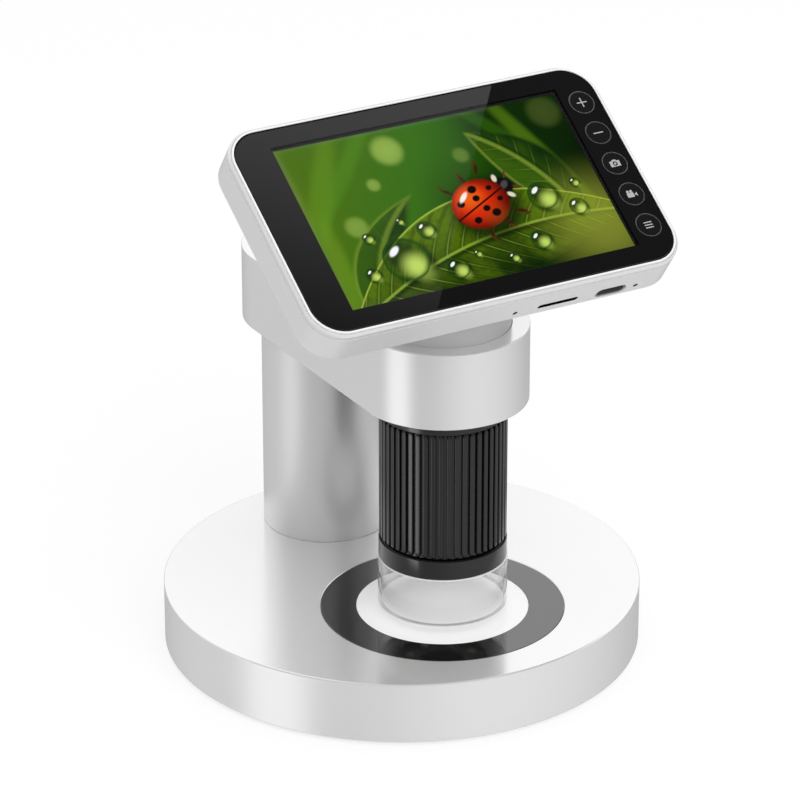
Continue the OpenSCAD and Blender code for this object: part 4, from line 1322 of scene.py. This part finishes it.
# %% Ladybird's wing cases
def wing_cases(shell):
    """A red dome with a seam, spots and a highlight."""
    red = dab(ink(96, 8, 1), ink(214, 44, 6), -0.1, 0.14, 0.74, 0.5, shell)
    red = dab(red, ink(246, 104, 22), -0.12, 0.4, 0.36, 0.9, shell, 0.85)
    red = dab(red, ink(178, 84, 20), 0.1, -0.72, 0.34, 0.9, shell, 0.35)
    over = split(shell)[1]
    red = lay(red, ink(46, 6, 2), ease(abs(over), 0.05, 0.02))
    for along, side, radius in (
            (-0.5, 0.42, 0.13), (0.16, 0.6, 0.15), (0.03, 0.26, 0.12), (-0.5, -0.4, 0.13),
            (0.16, -0.58, 0.15), (0.03, -0.25, 0.12), (0.62, 0.28, 0.1), (0.62, -0.27, 0.1)):
        red = dab(red, ink(14, 7, 5), along, side, radius, 0.2, shell)
    gleam = turned_to(-0.26, 0.56, 24, (0.22, 0.085), shell)
    return dab(red, ink(255, 250, 240), 0, 0, 1, 0.35, gleam, 0.95)


# %% Ladybird
def beetle(under, x, y, degrees, size):
    """Laid from the back to the front: shadow, legs, head, eyes and wing cases."""
    body = turned_to(x, y, degrees, (size, size))
    shadow = turned_to(x + 1.2, y - 2.2, degrees, (size * 1.25, size * 1.05))
    under = legs(dab(under, ink(3, 24, 1), 0, 0, 1, 0.3, shadow, 0.85), body)
    head = turned_to(x, y, degrees, (size * 1.3, size * 0.58))
    under = dab(under, ink(13, 11, 10), 0.13, 0, 0.94, 0.05, head)
    for flip in (-1, 1):
        under = limb(under, body, 1.05, flip * 0.36, flip * 60, 0.13, 0.08, ink(226, 220, 196))
    under = limb(under, body, 1.14, 0.02, 20, 0.16, 0.1, ink(70, 70, 72))
    shell = turned_to(x, y, degrees, (size * 1.05, size * 0.86))
    return dab(under, wing_cases(shell), 0, 0, 0.96, 0.03, shell)


scene_tone = beetle(scene_tone, 6.5, -3.0, 24, 9.0)
print("ladybird ready")

# %% Dew
def drop(under, x, y, radius):
    """A bead of water: dark where it bends shade, bright opposite, with a window's highlight."""
    bead = turned_to(x, y, 0, (radius, radius))
    inside = dab(under, ink(5, 36, 2), -0.25, 0.32, 0.8, 0.6, bead, 0.8)
    inside = dab(inside, ink(206, 234, 110), 0.3, -0.4, 0.5, 0.8, bead, 0.85)
    inside = lay(inside, ink(24, 74, 8), 1 - round_mask(0, 0, 0.88, 0.16, bead))
    gleam = turned_to(-0.34, 0.46, 38, (0.3, 0.14), bead)
    inside = dab(inside, ink(250, 253, 255), 0, 0, 1, 0.3, gleam)
    under = dab(under, ink(4, 30, 1), 0.14, -0.2, 1.08, 0.16, bead, 0.7)
    under = dab(under, ink(190, 220, 90), 0.5, -0.74, 0.4, 0.8, bead, 0.4)
    return dab(under, inside, 0, 0, 1, 0.04, bead)


for x, y, radius in ((-22, -14.5, 6.6), (-12.5, -7, 2.6), (-33, -17, 2.2), (-9, -20.5, 3.2),
                     (25, -4.5, 4.4), (33.5, -10, 2.6), (18, -17.5, 3.0), (-18.5, -3, 1.2),
                     (36, -2.5, 1.5), (-29.5, -6, 1.7), (8, -21, 1.6), (-1.5, -17.5, 1.2)):
    scene_tone = drop(scene_tone, x, y, radius)
picture.principled(Base_Color=grey(0.002), Roughness=0.5, Specular_IOR_Level=0.0,
                   Emission_Color=scene_tone, Emission_Strength=1.0)
print("picture", len(picture.tree.nodes), "nodes")

# %% [markdown]
# ## The remaining solids
#
# Pieces that sit inside, or whose plain shape is right, keep their own meshes and only get
# their real finishes.

# %% Finishes of the kept solids
KEPT = {
    "dark_plastic": "base_bottom_cover column_foot_plug column_head_plug swivel_bush barrel_core "
                    "core_retaining_ring lens_cell key_switches reset_switch reset_plunger",
    "steel": "base_weight column_tie_rod column_washer column_nut lens_drive_pin neck_screws "
             "board_screws lcd_tray",
    "circuit_board": "sensor_board main_board key_board", "lamp_board": "led_board",
    "dark_steel": "card_socket microphone", "sensor_glass": "image_sensor",
    "flex_cable": "sensor_cable", "lens_glass": "front_lens rear_lens",
    "mask_print": "glass_mask", "display": "lcd_panel", "backlight_white": "backlight",
    "battery_foil": "battery"}
for finish, names in KEPT.items():
    for name in names.split():
        for place in nodes[name].material_slots:
            place.material = finishes[finish]
print(sum(len(names.split()) for names in KEPT.values()), "solids kept")

# %% [markdown]
# ## The dressed model's size
#
# Last, the dressed model's box is printed next to the measured one.

# %% Sizes and finish
def corners(box):
    return [[float(v) for v in corner] for corner in box]


sizes = {"cad": corners(cad_bounds), "visual": corners(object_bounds())}
print(sizes)
